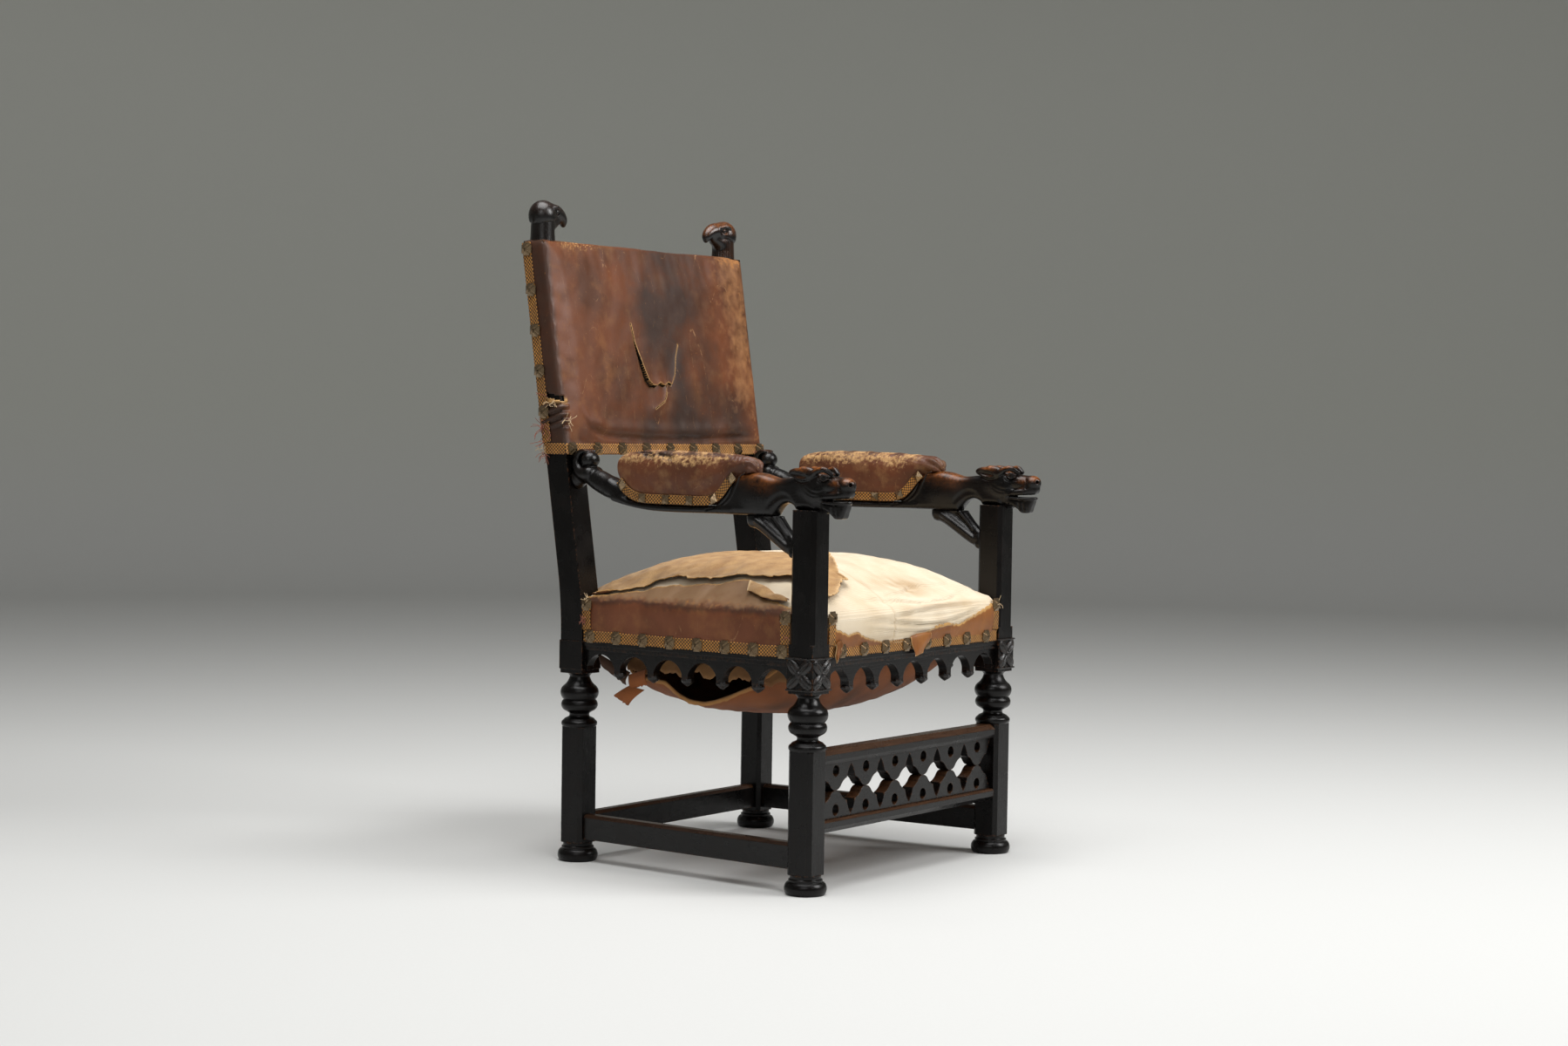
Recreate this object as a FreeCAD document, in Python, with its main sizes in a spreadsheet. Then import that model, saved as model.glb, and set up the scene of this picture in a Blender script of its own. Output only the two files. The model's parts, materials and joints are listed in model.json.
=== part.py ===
import FreeCAD, Part
import Sketcher
import math
import os

# A carved gothic armchair, about 1.1 m high, of ebonised wood with leather upholstery.
# The chair faces -Y, +X is on the right seen from the front, and the floor is z = 0.
# Plan places are measured from the middle of the four leg axes, which stand plan_shift off the origin.

DIMENSIONS = {
    # leg plan, between leg axes
    "front_leg_spacing": 557,
    "back_leg_spacing": 505,
    "leg_depth_spacing": 484,
    "plan_shift": -17.94,
    # legs, heights from the floor
    "leg_side": 46,
    "leg_chamfer": 6,
    "foot_height": 31,
    "block_top": 224,
    "collar_bottom": 314,
    "collar_side": 46,
    "rosette_bottom": 321,
    "rosette_top": 369,
    "rosette_side": 49,
    "post_stop_height": 22,
    "arm_post_top": 600,
    # turned part of a leg, heights above the lower block
    "ring_radius": 27,
    "ring_height": 11,
    "ring_round": 6.5,
    "fillet_radius": 24,
    "fillet_height": 14,
    "neck_radius": 17.5,
    "neck_low": 17,
    "neck_high": 23,
    "neck_round": 6,
    "torus_low_radius": 24.5,
    "torus_low": 27,
    "torus_round": 11,
    "groove_radius": 26.5,
    "groove_height": 45.4,
    "bulb_radius": 27.5,
    "bulb_height": 68,
    "bulb_round": 15.3,
    "throat_radius": 16.8,
    "throat_height": 84,
    "throat_round": 26,
    "flare_radius": 22,
    "flare_round": 11,
    # bun foot
    "foot_radius": 30,
    "foot_bulge_height": 19,
    "foot_bulge_round": 14,
    "foot_step_radius": 27,
    "foot_step_low": 20.5,
    "foot_step_high": 24,
    "foot_neck_radius": 24.5,
    "foot_neck_low": 25.5,
    "spigot_radius": 9,
    "spigot_length": 15,
    # rosette on a leg block
    "petal_offset": 11,
    "petal_radius": 9,
    "petal_height": 2,
    "button_radius": 5,
    "button_height": 4,
    # back post, plan places from the leg axis
    "post_bend_low": 380,
    "post_bend_high": 485,
    "post_bend_round": 700,
    "post_bend_rear": 31,
    "post_front_bend": 419,
    "post_top": 1034,
    "post_top_front": 71,
    "post_top_rear": 115,
    # mortise and tenon joints
    "tenon_thickness": 10,
    "tenon_depth": 16,
    "tenon_margin": 10,
    # seat frame
    "rail_top": 432,
    "rail_thickness": 32,
    "rail_inset": 6,
    "corner_block_leg": 46,
    "corner_block_margin": 8,
    # arcaded aprons
    "apron_thickness": 16,
    "apron_inset": 8,
    "arch_half": 30,
    "arch_rise": 21,
    "arch_top": 349,
    "apron_low": 320,
    "front_arches": 7,
    "side_arches": 6,
    "drop_sides": 8,
    "drop_radius": 10,
    "drop_bottom": 316,
    "drop_height": 5,
    "drop_point": 309,
    "drop_point_radius": 1.5,
    "moulding_bottom": 355,
    "moulding_step": 362,
    "moulding_projection": 5,
    "moulding_low_projection": 3,
    # low stretchers
    "stretcher_bottom": 38,
    "stretcher_height": 41,
    "stretcher_thickness": 24,
    "stretcher_chamfer": 5,
    # front stretcher
    "stretcher_rail_top": 224,
    "stretcher_rail_under": 201,
    "stretcher_low_top": 113,
    "stretcher_low_under": 93,
    "rail_half_depth": 19,
    "rail_crest_half": 11,
    "rail_crest_drop": 8,
    "rail_lip_drop": 17,
    "rail_lip_half": 15,
    "tracery_thickness": 20,
    "tracery_tongue": 5,
    "tongue_thickness": 12,
    "lobe_count": 6,
    "lobe_root": 3.5,
    "lobe_shoulder": 31,
    "lobe_shoulder_height": 26,
    "lobe_shoulder_round": 45,
    "lobe_waist": 16,
    "lobe_waist_height": 35,
    "lobe_waist_round": 30,
    "lobe_tip_round": 19,
    "lobe_hole_radius": 9,
    "lobe_hole_height": 13,
    # back frame and its upholstery
    "back_bottom": 678,
    "cross_rail_height": 46,
    "cross_rail_thickness": 22,
    "back_crown": 8,
    "back_edge_crown": 1.5,
    "leather_thickness": 2,
    "cloth_thickness": 1.5,
    "fit_gap": 0.3,
    "back_web_width": 55,
    "back_web_pitch": 130,
    # finials
    "finial_from_post": 93,
    "finial_spigot_radius": 6,
    "finial_spigot_length": 20,
    "finial_base_radius": 20,
    "finial_neck_radius": 18.5,
    "finial_neck_height": 16,
    "finial_brow_height": 34,
    "finial_brow_radius": 23,
    "finial_dome_round": 26,
    "finial_hole_height": 6,
    "finial_top": 1103,
    "beak_reach": 50,
    "beak_root": 10,
    "beak_top": 52,
    "beak_under": 36,
    "beak_tip": 30,
    "beak_round": 34,
    "beak_width": 20,
    # arm, places behind the front post axis
    "arm_width": 42,
    "arm_under": 589,
    "arm_rear": 490.5,
    "arm_rear_low": 624,
    "arm_rear_top": 668,
    "arm_rear_lean": 6.5,
    "arm_rise": 306,
    "arm_rise_end": 440,
    "arm_rise_height": 611,
    "neck_arch": 67,
    "neck_arch_round": 40,
    "chin": -50,
    "lip": -74,
    "lip_height": 613,
    "jaw_round": 22,
    "mouth_corner": -22,
    "mouth_height": 618,
    "upper_lip_height": 627,
    "nose": -78,
    "nose_height": 641,
    "nose_round": 9,
    "brow": -11,
    "brow_height": 664,
    "brow_round": 90,
    "ear": 51,
    "ear_height": 656,
    "nape": 63,
    "nape_height": 648,
    "collar_line": 128,
    "collar_line_height": 653,
    "trough_front": 146,
    "trough_front_height": 644,
    "trough_low_front": 186,
    "trough_low_rear": 352,
    "trough_height": 600,
    "trough_rear": 404,
    "trough_rear_height": 640,
    "trough_round": 48,
    "volute_front": 438,
    "volute_front_height": 664,
    "volute_round": 31.5,
    "volute_rear": 474,
    "volute_rear_height": 684,
    "arm_tenon_width": 12,
    "arm_tenon_height": 26,
    "arm_mortise_lead": 4,
    "arm_mortise_depth": 24,
    "dowel_radius": 6,
    "dowel_length": 58,
    # leg-and-paw bracket under the arm
    "bracket_width": 30,
    "bracket_gap": 1,
    "paw_low": 523,
    "paw_high": 557,
    "bracket_rear": 136,
    "bracket_heel": 132,
    "bracket_heel_height": 573,
    "bracket_upper_round": 70,
    "bracket_lower_round": 150,
    # arm pad
    "pad_half_width": 20,
    "pad_side_height": 18,
    "pad_clearance": 1.5,
    "pad_crown_round": 34,
    "pad_top": 686,
    "pad_end_top": 679,
    "pad_end_rise": 35.2,
    "pad_front": 152,
    "pad_rear": 398,
    "pad_turn": 32,
    "pad_turn_rise": 9,
    # seat upholstery
    "web_width": 50,
    "web_pitch": 82,
    "web_count": 5,
    "web_thickness": 2,
    "base_cloth_top": 437.5,
    "seat_leather_top": 440,
    "cushion_edge_inset": 3,
    "cushion_swell_height": 456,
    "cushion_shoulder_height": 481,
    "cushion_shoulder_inset": 21,
    "cushion_slope_height": 500,
    "cushion_slope_inset": 63,
    "cushion_crest_height": 511,
    "cushion_crest_inset": 118,
    "cushion_top": 516,
    "cushion_top_inset": 190,
    "cushion_corner": 40,
    "post_clearance": 130,
    "braid_width": 18,
    "braid_thickness": 1.5,
    "stud_side": 14,
    "stud_height": 5,
    "stud_flat": 0.8,
    "side_stud_pitch": 58,
    "side_stud_count": 8,
    "front_stud_pitch": 62,
    "front_stud_count": 8,
    "back_stud_pitch": 66,
    "back_stud_count": 9,
    "back_side_stud_count": 5,
    "back_side_stud_pitch": 68,
    "back_side_stud_first": 70,
    "foot_stud_stand": 6,
    "foot_braid_front": 2.25,
    "foot_braid_rear": 0.9,
    "arm_stud_pitch": 43,
    "arm_stud_count": 5,
    # dust cover
    "dust_inset": 28,
    "dust_drop": 115,
    "dust_mid_drop": 95,
    "dust_end_drop": 8,
    "dust_front_place": 120,
    "dust_low_place": 40,
    "dust_rear_place": 144,
}

doc = FreeCAD.newDocument("gothic_throne_chair")
sheet = doc.addObject("Spreadsheet::Sheet", "Dimensions")


class Size:
    """A length that knows its number and the sheet expression which gives that number."""

    def __init__(self, value, text):
        self.value = value
        self.text = text

    def __add__(self, other):
        other = size(other)
        return Size(self.value + other.value, f"({self.text} + {other.text})")

    def __sub__(self, other):
        other = size(other)
        return Size(self.value - other.value, f"({self.text} - {other.text})")

    def __mul__(self, other):
        other = size(other)
        return Size(self.value * other.value, f"({self.text} * {other.text})")

    def __truediv__(self, other):
        other = size(other)
        return Size(self.value / other.value, f"({self.text} / {other.text})")

    def __neg__(self):
        return Size(-self.value, f"(0 - {self.text})")

    def __radd__(self, other):
        return size(other) + self

    def __rsub__(self, other):
        return size(other) - self

    def __rmul__(self, other):
        return size(other) * self


def size(number):
    """Turn a plain number into a Size, and leave a Size as it is."""
    if isinstance(number, Size):
        return number
    return Size(float(number), f"({float(number)!r})")


class Named:
    """The sheet's cells as attributes, each a Size."""


d = Named()
for row, (alias, number) in enumerate(DIMENSIONS.items(), start=1):
    sheet.set(f"A{row}", alias)
    sheet.set(f"B{row}", str(number))
    sheet.setAlias(f"B{row}", alias)
    setattr(d, alias, Size(float(number), f"Dimensions.{alias}"))
doc.recompute()

LEFT, RIGHT = -1, 1
SIDES = {"left": LEFT, "right": RIGHT}

half_leg = d.leg_side / 2
half_front = d.front_leg_spacing / 2
half_back = d.back_leg_spacing / 2
half_depth = d.leg_depth_spacing / 2
splay_ratio = (half_front - half_back) / d.leg_depth_spacing
splay = Size(math.degrees(math.atan(splay_ratio.value)), f"atan({splay_ratio.text})")
post_slope = (d.post_top_front + half_leg) / (d.post_top - d.post_front_bend)
rear_slope = (d.post_top_rear - d.post_bend_rear) / (d.post_top - d.post_bend_high)


# Drawing and feature helpers

def bind(item, prop, length):
    """Tie one property of an object to the sheet."""
    item.setExpression(prop, size(length).text)


def place(item, x=0, y=0, z=0):
    """Put an object at a plan place measured from the middle of the leg axes."""
    bind(item, "Placement.Base.x", x)
    bind(item, "Placement.Base.y", size(y) + d.plan_shift)
    bind(item, "Placement.Base.z", z)


def new_body(label, x=0, y=0, turn=None, loose=False):
    """Start a sub-part; turn is its angle about the upright axis, loose allows separate solids."""
    body = doc.addObject("PartDesign::Body", label)
    body.Label = label
    body.AllowCompound = loose
    place(body, x, y)
    if turn is not None:
        body.Placement.Rotation = FreeCAD.Rotation(FreeCAD.Vector(0, 0, 1), size(turn).value)
        bind(body, "Placement.Rotation.Angle", turn)
    return body


def origin_feature(body, role):
    """Find one of a body's own origin planes or axes."""
    return next(item for item in body.Origin.OriginFeatures if item.Role == role)


def new_sketch(body, plane, height):
    """Add a sketch on a body's own plane, lifted along the plane's normal."""
    sketch = body.newObject("Sketcher::SketchObject", "Sketch")
    sketch.AttachmentSupport = (origin_feature(body, plane), [""])
    sketch.MapMode = "FlatFace"
    bind(sketch, "AttachmentOffset.Base.z", height)
    return sketch


def arc_between(start, end, radius):
    """The shorter arc from start to end; a positive radius turns left on the way."""
    along = end - start
    middle = (start + end) / 2
    rise = math.sqrt(radius ** 2 - (along.Length / 2) ** 2)
    left = FreeCAD.Vector(-along.y, along.x, 0).normalize()
    centre = middle + left * math.copysign(rise, radius)
    first, last = (start, end) if radius > 0 else (end, start)
    angles = [math.atan2(point.y - centre.y, point.x - centre.x) for point in (first, last)]
    circle = Part.Circle(centre, FreeCAD.Vector(0, 0, 1), abs(radius))
    return Part.ArcOfCircle(circle, *angles)


def outline(body, plane, corners, height=0):
    """Draw a closed outline whose corners are tied to the sheet.

    A corner (x, y) is reached by a straight line. A corner (x, y, radius) is reached by an arc,
    which turns left for a positive radius and right for a negative one.
    """
    sketch = new_sketch(body, plane, height)
    points = [FreeCAD.Vector(size(corner[0]).value, size(corner[1]).value, 0) for corner in corners]
    ends = []
    for index, corner in enumerate(corners):
        start, end = points[index - 1], points[index]
        if len(corner) == 2:
            sketch.addGeometry(Part.LineSegment(start, end))
            ends.append((1, 2))
            continue
        radius = size(corner[2])
        sketch.addGeometry(arc_between(start, end, radius.value))
        ends.append((1, 2) if radius.value > 0 else (2, 1))
        positive = radius if radius.value > 0 else -radius
        number = sketch.addConstraint(Sketcher.Constraint("Radius", index, positive.value))
        bind(sketch, f"Constraints[{number}]", positive)
    for index, corner in enumerate(corners):
        following = (index + 1) % len(corners)
        joint = Sketcher.Constraint("Coincident", index, ends[index][1], following, ends[following][0])
        sketch.addConstraint(joint)
        for kind, length in (("DistanceX", size(corner[0])), ("DistanceY", size(corner[1]))):
            number = sketch.addConstraint(Sketcher.Constraint(kind, index, ends[index][1], length.value))
            bind(sketch, f"Constraints[{number}]", length)
    return sketch


def circle(body, plane, x, y, radius, height=0):
    """Draw a circle tied to the sheet."""
    sketch = new_sketch(body, plane, height)
    x, y, radius = size(x), size(y), size(radius)
    centre = FreeCAD.Vector(x.value, y.value, 0)
    sketch.addGeometry(Part.Circle(centre, FreeCAD.Vector(0, 0, 1), radius.value))
    for kind, length in (("DistanceX", x), ("DistanceY", y)):
        number = sketch.addConstraint(Sketcher.Constraint(kind, 0, 3, length.value))
        bind(sketch, f"Constraints[{number}]", length)
    number = sketch.addConstraint(Sketcher.Constraint("Radius", 0, radius.value))
    bind(sketch, f"Constraints[{number}]", radius)
    return sketch


def pad(body, profile, depth, both_ways=False):
    """Raise a sketch into a solid along its normal, or by half each way."""
    feature = body.newObject("PartDesign::Pad", "Pad")
    feature.Profile = profile
    bind(feature, "Length", depth)
    if both_ways:
        feature.SideType = "Symmetric"
    return feature


def cut_through(body, profile):
    """Cut a sketch through the whole piece, both ways."""
    feature = body.newObject("PartDesign::Pocket", "Opening")
    feature.Profile = profile
    feature.SideType = "Symmetric"
    feature.Type = "ThroughAll"
    return feature


def slab(body, corners, low, high):
    """A plan outline raised between two heights."""
    return pad(body, outline(body, "XY_Plane", corners, low), size(high) - low)


def side_slab(body, corners, start, end):
    """A side outline (y, z) stretched between two places along X."""
    start, end = sorted((size(start), size(end)), key=lambda length: length.value)
    return pad(body, outline(body, "YZ_Plane", corners, start), end - start)


def rectangle(x_low, x_high, y_low, y_high):
    """The four corners of an upright rectangle."""
    return [(x_low, y_low), (x_high, y_low), (x_high, y_high), (x_low, y_high)]


def block(body, kind, x_pair, y_pair, z_pair):
    """Add or cut a rectangular block, such as a tenon or a mortise."""
    feature = body.newObject(f"PartDesign::{kind}Box", "Tenon" if kind == "Additive" else "Mortise")
    pairs = zip(("Length", "Width", "Height"), "xyz", (x_pair, y_pair, z_pair))
    for extent, axis, pair in pairs:
        low, high = sorted((size(end) for end in pair), key=lambda length: length.value)
        bind(feature, extent, high - low)
        bind(feature, f"Placement.Base.{axis}", low)
    return feature


def rod(body, kind, radius, place_at, height, axis=None):
    """Add or cut a round rod from a place, upwards or along another axis."""
    feature = body.newObject(f"PartDesign::{kind}Cylinder", "Rod" if kind == "Additive" else "Bore")
    if axis is not None:
        feature.Placement.Rotation = FreeCAD.Rotation(FreeCAD.Vector(0, 0, 1), FreeCAD.Vector(*axis))
    bind(feature, "Radius", radius)
    bind(feature, "Height", height)
    for letter, length in zip("xyz", place_at):
        bind(feature, f"Placement.Base.{letter}", length)
    return feature


def turn(body, corners, plane="XZ_Plane"):
    """Turn a half outline (radius, height) about the upright axis, starting from an upright plane."""
    sketch = outline(body, plane, corners)
    feature = body.newObject("PartDesign::Revolution", "Turning")
    feature.Profile = sketch
    feature.ReferenceAxis = (sketch, ["V_Axis"])
    feature.Angle = 360
    return feature


def loft(body, sections):
    """A smooth skin through sections."""
    feature = body.newObject("PartDesign::AdditiveLoft", "Loft")
    feature.Profile = sections[0]
    feature.Sections = sections[1:]
    return feature


def repeat(body, original, axis, length, count):
    """Repeat a feature evenly along one of the body's own axes."""
    feature = body.newObject("PartDesign::LinearPattern", "Row")
    feature.Originals = [original]
    feature.Direction = (origin_feature(body, axis), [""])
    bind(feature, "Length", length)
    bind(feature, "Occurrences", count)
    body.Tip = feature
    return feature


def group(label, members):
    """Several separate solids that share one name."""
    item = doc.addObject("Part::Compound", label)
    item.Label = label
    item.Links = members
    return item


# Places on the chair's plan

def half_spacing(y):
    """Half the distance between the two sides' leg lines at a plan depth."""
    return half_front - splay_ratio * (size(y) + half_depth)


WALL_LENGTHS = {
    "front": (half_front - half_leg) * 2,
    "back": (half_back - half_leg) * 2,
    "left": (half_depth - half_leg) * 2,
    "right": (half_depth - half_leg) * 2,
}


def wall_point(wall, outward, station):
    """A plan point on one side of the seat: outward from the leg axes, along from the first leg's face."""
    if wall == "front":
        return station - WALL_LENGTHS["front"] / 2, -half_depth - outward
    if wall == "back":
        return station - WALL_LENGTHS["back"] / 2, half_depth + outward
    y = station - WALL_LENGTHS[wall] / 2
    return (half_spacing(y) + outward) * SIDES[wall], y


def wall_strip(wall, outer, inner, start=None, end=None):
    """The plan of a strip along one side of the seat, between two stations or from leg to leg."""
    start = size(0) if start is None else size(start)
    end = WALL_LENGTHS[wall] if end is None else size(end)
    corners = ((outer, start), (outer, end), (inner, end), (inner, start))
    return [wall_point(wall, size(outward), station) for outward, station in corners]


def post_front(z):
    """How far the front of a back post stands behind its leg axis at a height."""
    return post_slope * (size(z) - d.post_front_bend) - half_leg


def post_rear(z):
    """How far the rear of a back post stands behind its leg axis at a height."""
    return rear_slope * (size(z) - d.post_bend_high) + d.post_bend_rear


# Legs and feet

def octagon(side, chamfer):
    """A square with its corners cut off."""
    edge = side / 2
    flat = edge - chamfer
    return [(flat, -edge), (edge, -flat), (edge, flat), (flat, edge),
            (-flat, edge), (-edge, flat), (-edge, -flat), (-flat, -edge)]


def square(side):
    """A square about the axis."""
    return rectangle(-side / 2, side / 2, -side / 2, side / 2)


def lower_leg(body):
    """Chamfered block, turned part, collar and rosette block, shared by all four legs."""
    slab(body, octagon(d.leg_side, d.leg_chamfer), d.foot_height, d.block_top)
    base = d.block_top
    turn(body, [
        (0, base),
        (d.ring_radius, base),
        (d.ring_radius, base + d.ring_height, d.ring_round),
        (d.fillet_radius, base + d.fillet_height),
        (d.neck_radius, base + d.neck_low),
        (d.neck_radius, base + d.neck_high, -d.neck_round),
        (d.torus_low_radius, base + d.torus_low),
        (d.groove_radius, base + d.groove_height, d.torus_round),
        (d.bulb_radius, base + d.bulb_height, d.bulb_round),
        (d.throat_radius, base + d.throat_height, -d.throat_round),
        (d.flare_radius, d.collar_bottom, -d.flare_round),
        (0, d.collar_bottom),
    ])
    slab(body, square(d.collar_side), d.collar_bottom, d.rosette_bottom)
    slab(body, square(d.rosette_side), d.rosette_bottom, d.rosette_top)
    bore_start = (0, 0, d.foot_height)
    rod(body, "Subtractive", d.spigot_radius, bore_start, d.spigot_length)


def rosette(body, axis):
    """A four-petal flower with a button on the block face that looks along an axis."""
    middle = (d.rosette_bottom + d.rosette_top) / 2
    face = d.rosette_side / 2
    out_x, out_y = axis
    for across, up in ((1, 1), (1, -1), (-1, 1), (-1, -1)):
        start = (face * out_x + d.petal_offset * across * abs(out_y),
                 face * out_y + d.petal_offset * across * abs(out_x),
                 middle + d.petal_offset * up)
        rod(body, "Additive", d.petal_radius, start, d.petal_height, (out_x, out_y, 0))
    start = (face * out_x, face * out_y, middle)
    rod(body, "Additive", d.button_radius, start, d.button_height, (out_x, out_y, 0))


def tenon_heights(low, high):
    """The heights of a tenon inside a rail."""
    return size(low) + d.tenon_margin, size(high) - d.tenon_margin


stretcher_top = d.stretcher_bottom + d.stretcher_height
rail_joint = tenon_heights(d.rosette_top, d.rail_top)
stretcher_joint = tenon_heights(d.stretcher_bottom, stretcher_top)
front_rail_joints = [
    tenon_heights(d.stretcher_rail_under - d.tenon_margin / 2, d.stretcher_rail_top + d.tenon_margin / 2),
    tenon_heights(d.stretcher_low_under - d.tenon_margin / 2, d.stretcher_low_top + d.tenon_margin / 2),
]
tenon_half = d.tenon_thickness / 2


def mortise_across(body, side, heights):
    """A mortise for a rail that runs along X, cut from the inner face of a left or right leg."""
    inner = half_leg * -side
    block(body, "Subtractive", (inner, inner + d.tenon_depth * side), (-tenon_half, tenon_half), heights)


def mortise_along(body, facing, heights):
    """A mortise for a rail that runs along Y, cut from the face of a front or back leg."""
    face = half_leg * facing
    block(body, "Subtractive", (-tenon_half, tenon_half), (face, face - d.tenon_depth * facing), heights)


def front_leg(name, side):
    """A front leg: turned and square below, carved at the rosette, chamfered up to the arm."""
    body = new_body(f"front_leg_{name}", half_front * side, -half_depth)
    lower_leg(body)
    stop = d.rosette_top + d.post_stop_height
    slab(body, square(d.leg_side), d.rosette_top, stop)
    slab(body, octagon(d.leg_side, d.leg_chamfer), stop, d.arm_post_top)
    rosette(body, (0, -1))
    rosette(body, (side, 0))
    for heights in [rail_joint, *front_rail_joints]:
        mortise_across(body, side, heights)
    for heights in (rail_joint, stretcher_joint):
        mortise_along(body, 1, heights)
    dowel_start = (0, 0, d.arm_post_top - d.dowel_length / 2)
    rod(body, "Subtractive", d.dowel_radius, dowel_start, d.dowel_length)
    return body


def back_post(name, side):
    """A rear leg that bends back above the seat and carries the back."""
    body = new_body(f"back_post_{name}", half_back * side, half_depth)
    lower_leg(body)
    post_outline = outline(body, "YZ_Plane", [
        (-half_leg, d.rosette_top),
        (half_leg, d.rosette_top),
        (half_leg, d.post_bend_low),
        (d.post_bend_rear, d.post_bend_high, -d.post_bend_round),
        (d.post_top_rear, d.post_top),
        (d.post_top_front, d.post_top),
        (-half_leg, d.post_front_bend),
    ])
    pad(body, post_outline, d.leg_side, both_ways=True)
    for heights in (rail_joint, stretcher_joint):
        mortise_across(body, side, heights)
        mortise_along(body, -1, heights)
    for low in (d.back_bottom, d.post_top - d.cross_rail_height):
        low_z, high_z = tenon_heights(low, low + d.cross_rail_height)
        middle = cross_rail_middle((low_z + high_z) / 2) - half_depth
        inner = half_leg * -side
        block(body, "Subtractive", (inner, inner + d.tenon_depth * side),
              (middle - tenon_half, middle + tenon_half), (low_z, high_z))
    clear = d.arm_tenon_width / 2 + d.pad_clearance
    middle = (d.arm_rear_low + d.arm_rear_top) / 2
    height = d.arm_tenon_height / 2 + d.fit_gap
    front = post_front(d.arm_rear_low) - d.arm_mortise_lead
    block(body, "Subtractive", (-clear, clear), (front, front + d.arm_mortise_depth),
          (middle - height, middle + height))
    spigot_start = (0, d.finial_from_post, d.post_top - d.finial_spigot_length)
    rod(body, "Subtractive", d.finial_spigot_radius, spigot_start, d.finial_spigot_length)
    return body


def foot(label, x, y):
    """A turned bun foot with a spigot that goes up into its leg."""
    body = new_body(label, x, y)
    top = d.foot_height + d.spigot_length
    turn(body, [
        (0, 0),
        (d.foot_radius, 0),
        (d.foot_radius, d.foot_bulge_height, d.foot_bulge_round),
        (d.foot_step_radius, d.foot_step_low),
        (d.foot_step_radius, d.foot_step_high),
        (d.foot_neck_radius, d.foot_neck_low),
        (d.foot_neck_radius, d.foot_height),
        (d.spigot_radius, d.foot_height),
        (d.spigot_radius, top),
        (0, top),
    ])
    return body


# Rails, stretchers and carved boards

def tenons_across(body, wall, y, heights):
    """Tenons on both ends of a rail that runs along X."""
    end = WALL_LENGTHS[wall] / 2
    for side in SIDES.values():
        block(body, "Additive", (end * side, (end + d.tenon_depth) * side),
              (y - tenon_half, y + tenon_half), heights)


def tenons_along(body, side, heights):
    """Tenons on both ends of a rail that runs from a front leg to a back leg."""
    end = WALL_LENGTHS["left"] / 2
    for axis, facing in ((half_front, LEFT), (half_back, RIGHT)):
        x = axis * side
        block(body, "Additive", (x - tenon_half, x + tenon_half),
              (end * facing, (end + d.tenon_depth) * facing), heights)


def finish_rail(wall, body, heights):
    """Adds the tenons at both ends of a rail."""
    if wall in SIDES:
        tenons_along(body, SIDES[wall], heights)
    else:
        tenons_across(body, wall, half_depth * (-1 if wall == "front" else 1), heights)


rail_outer = half_leg - d.rail_inset
rail_inner = rail_outer - d.rail_thickness


def seat_rail(wall):
    """A plain rail of the seat frame, tenoned into the legs."""
    body = new_body(f"seat_rail_{wall}")
    slab(body, wall_strip(wall, rail_outer, rail_inner), d.rosette_top, d.rail_top)
    finish_rail(wall, body, rail_joint)
    return body


def chamfer_top_edges(body, feature, height, amount):
    """Bevel the two long edges along the top of a rail."""
    doc.recompute()
    edges = []
    for number, edge in enumerate(feature.Shape.Edges, start=1):
        on_top = all(abs(vertex.Z - height.value) < 0.01 for vertex in edge.Vertexes)
        if on_top and edge.Length > WALL_LENGTHS["left"].value / 2:
            edges.append(f"Edge{number}")
    bevel = body.newObject("PartDesign::Chamfer", "Bevel")
    bevel.Base = (feature, edges)
    bind(bevel, "Size", amount)


def low_stretcher(wall):
    """A plain chamfered stretcher near the floor."""
    body = new_body(f"stretcher_{wall}")
    half = d.stretcher_thickness / 2
    feature = slab(body, wall_strip(wall, half, -half), d.stretcher_bottom, stretcher_top)
    chamfer_top_edges(body, feature, stretcher_top, d.stretcher_chamfer)
    finish_rail(wall, body, stretcher_joint)
    return body


def front_stretcher_rail(label, top, under, lip_up, heights):
    """A moulded rail: a bevelled crest, a face and a lip, with a groove for the tracery's tongue."""
    body = new_body(label, 0, -half_depth)
    crest, lip, sign = (top, under, -1) if lip_up else (under, top, 1)
    shape = [
        (-d.rail_crest_half, crest),
        (-d.rail_half_depth, crest + d.rail_crest_drop * sign),
        (-d.rail_half_depth, crest + d.rail_lip_drop * sign),
        (-d.rail_lip_half, lip),
        (d.rail_lip_half, lip),
        (d.rail_half_depth, crest + d.rail_lip_drop * sign),
        (d.rail_half_depth, crest + d.rail_crest_drop * sign),
        (d.rail_crest_half, crest),
    ]
    pad(body, outline(body, "YZ_Plane", shape), WALL_LENGTHS["front"], both_ways=True)
    half = d.tongue_thickness / 2
    end = WALL_LENGTHS["front"] / 2
    block(body, "Subtractive", (-end, end), (-half, half), (lip, lip - d.tracery_tongue * sign))
    tenons_across(body, "front", size(0), heights)
    return body


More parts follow.
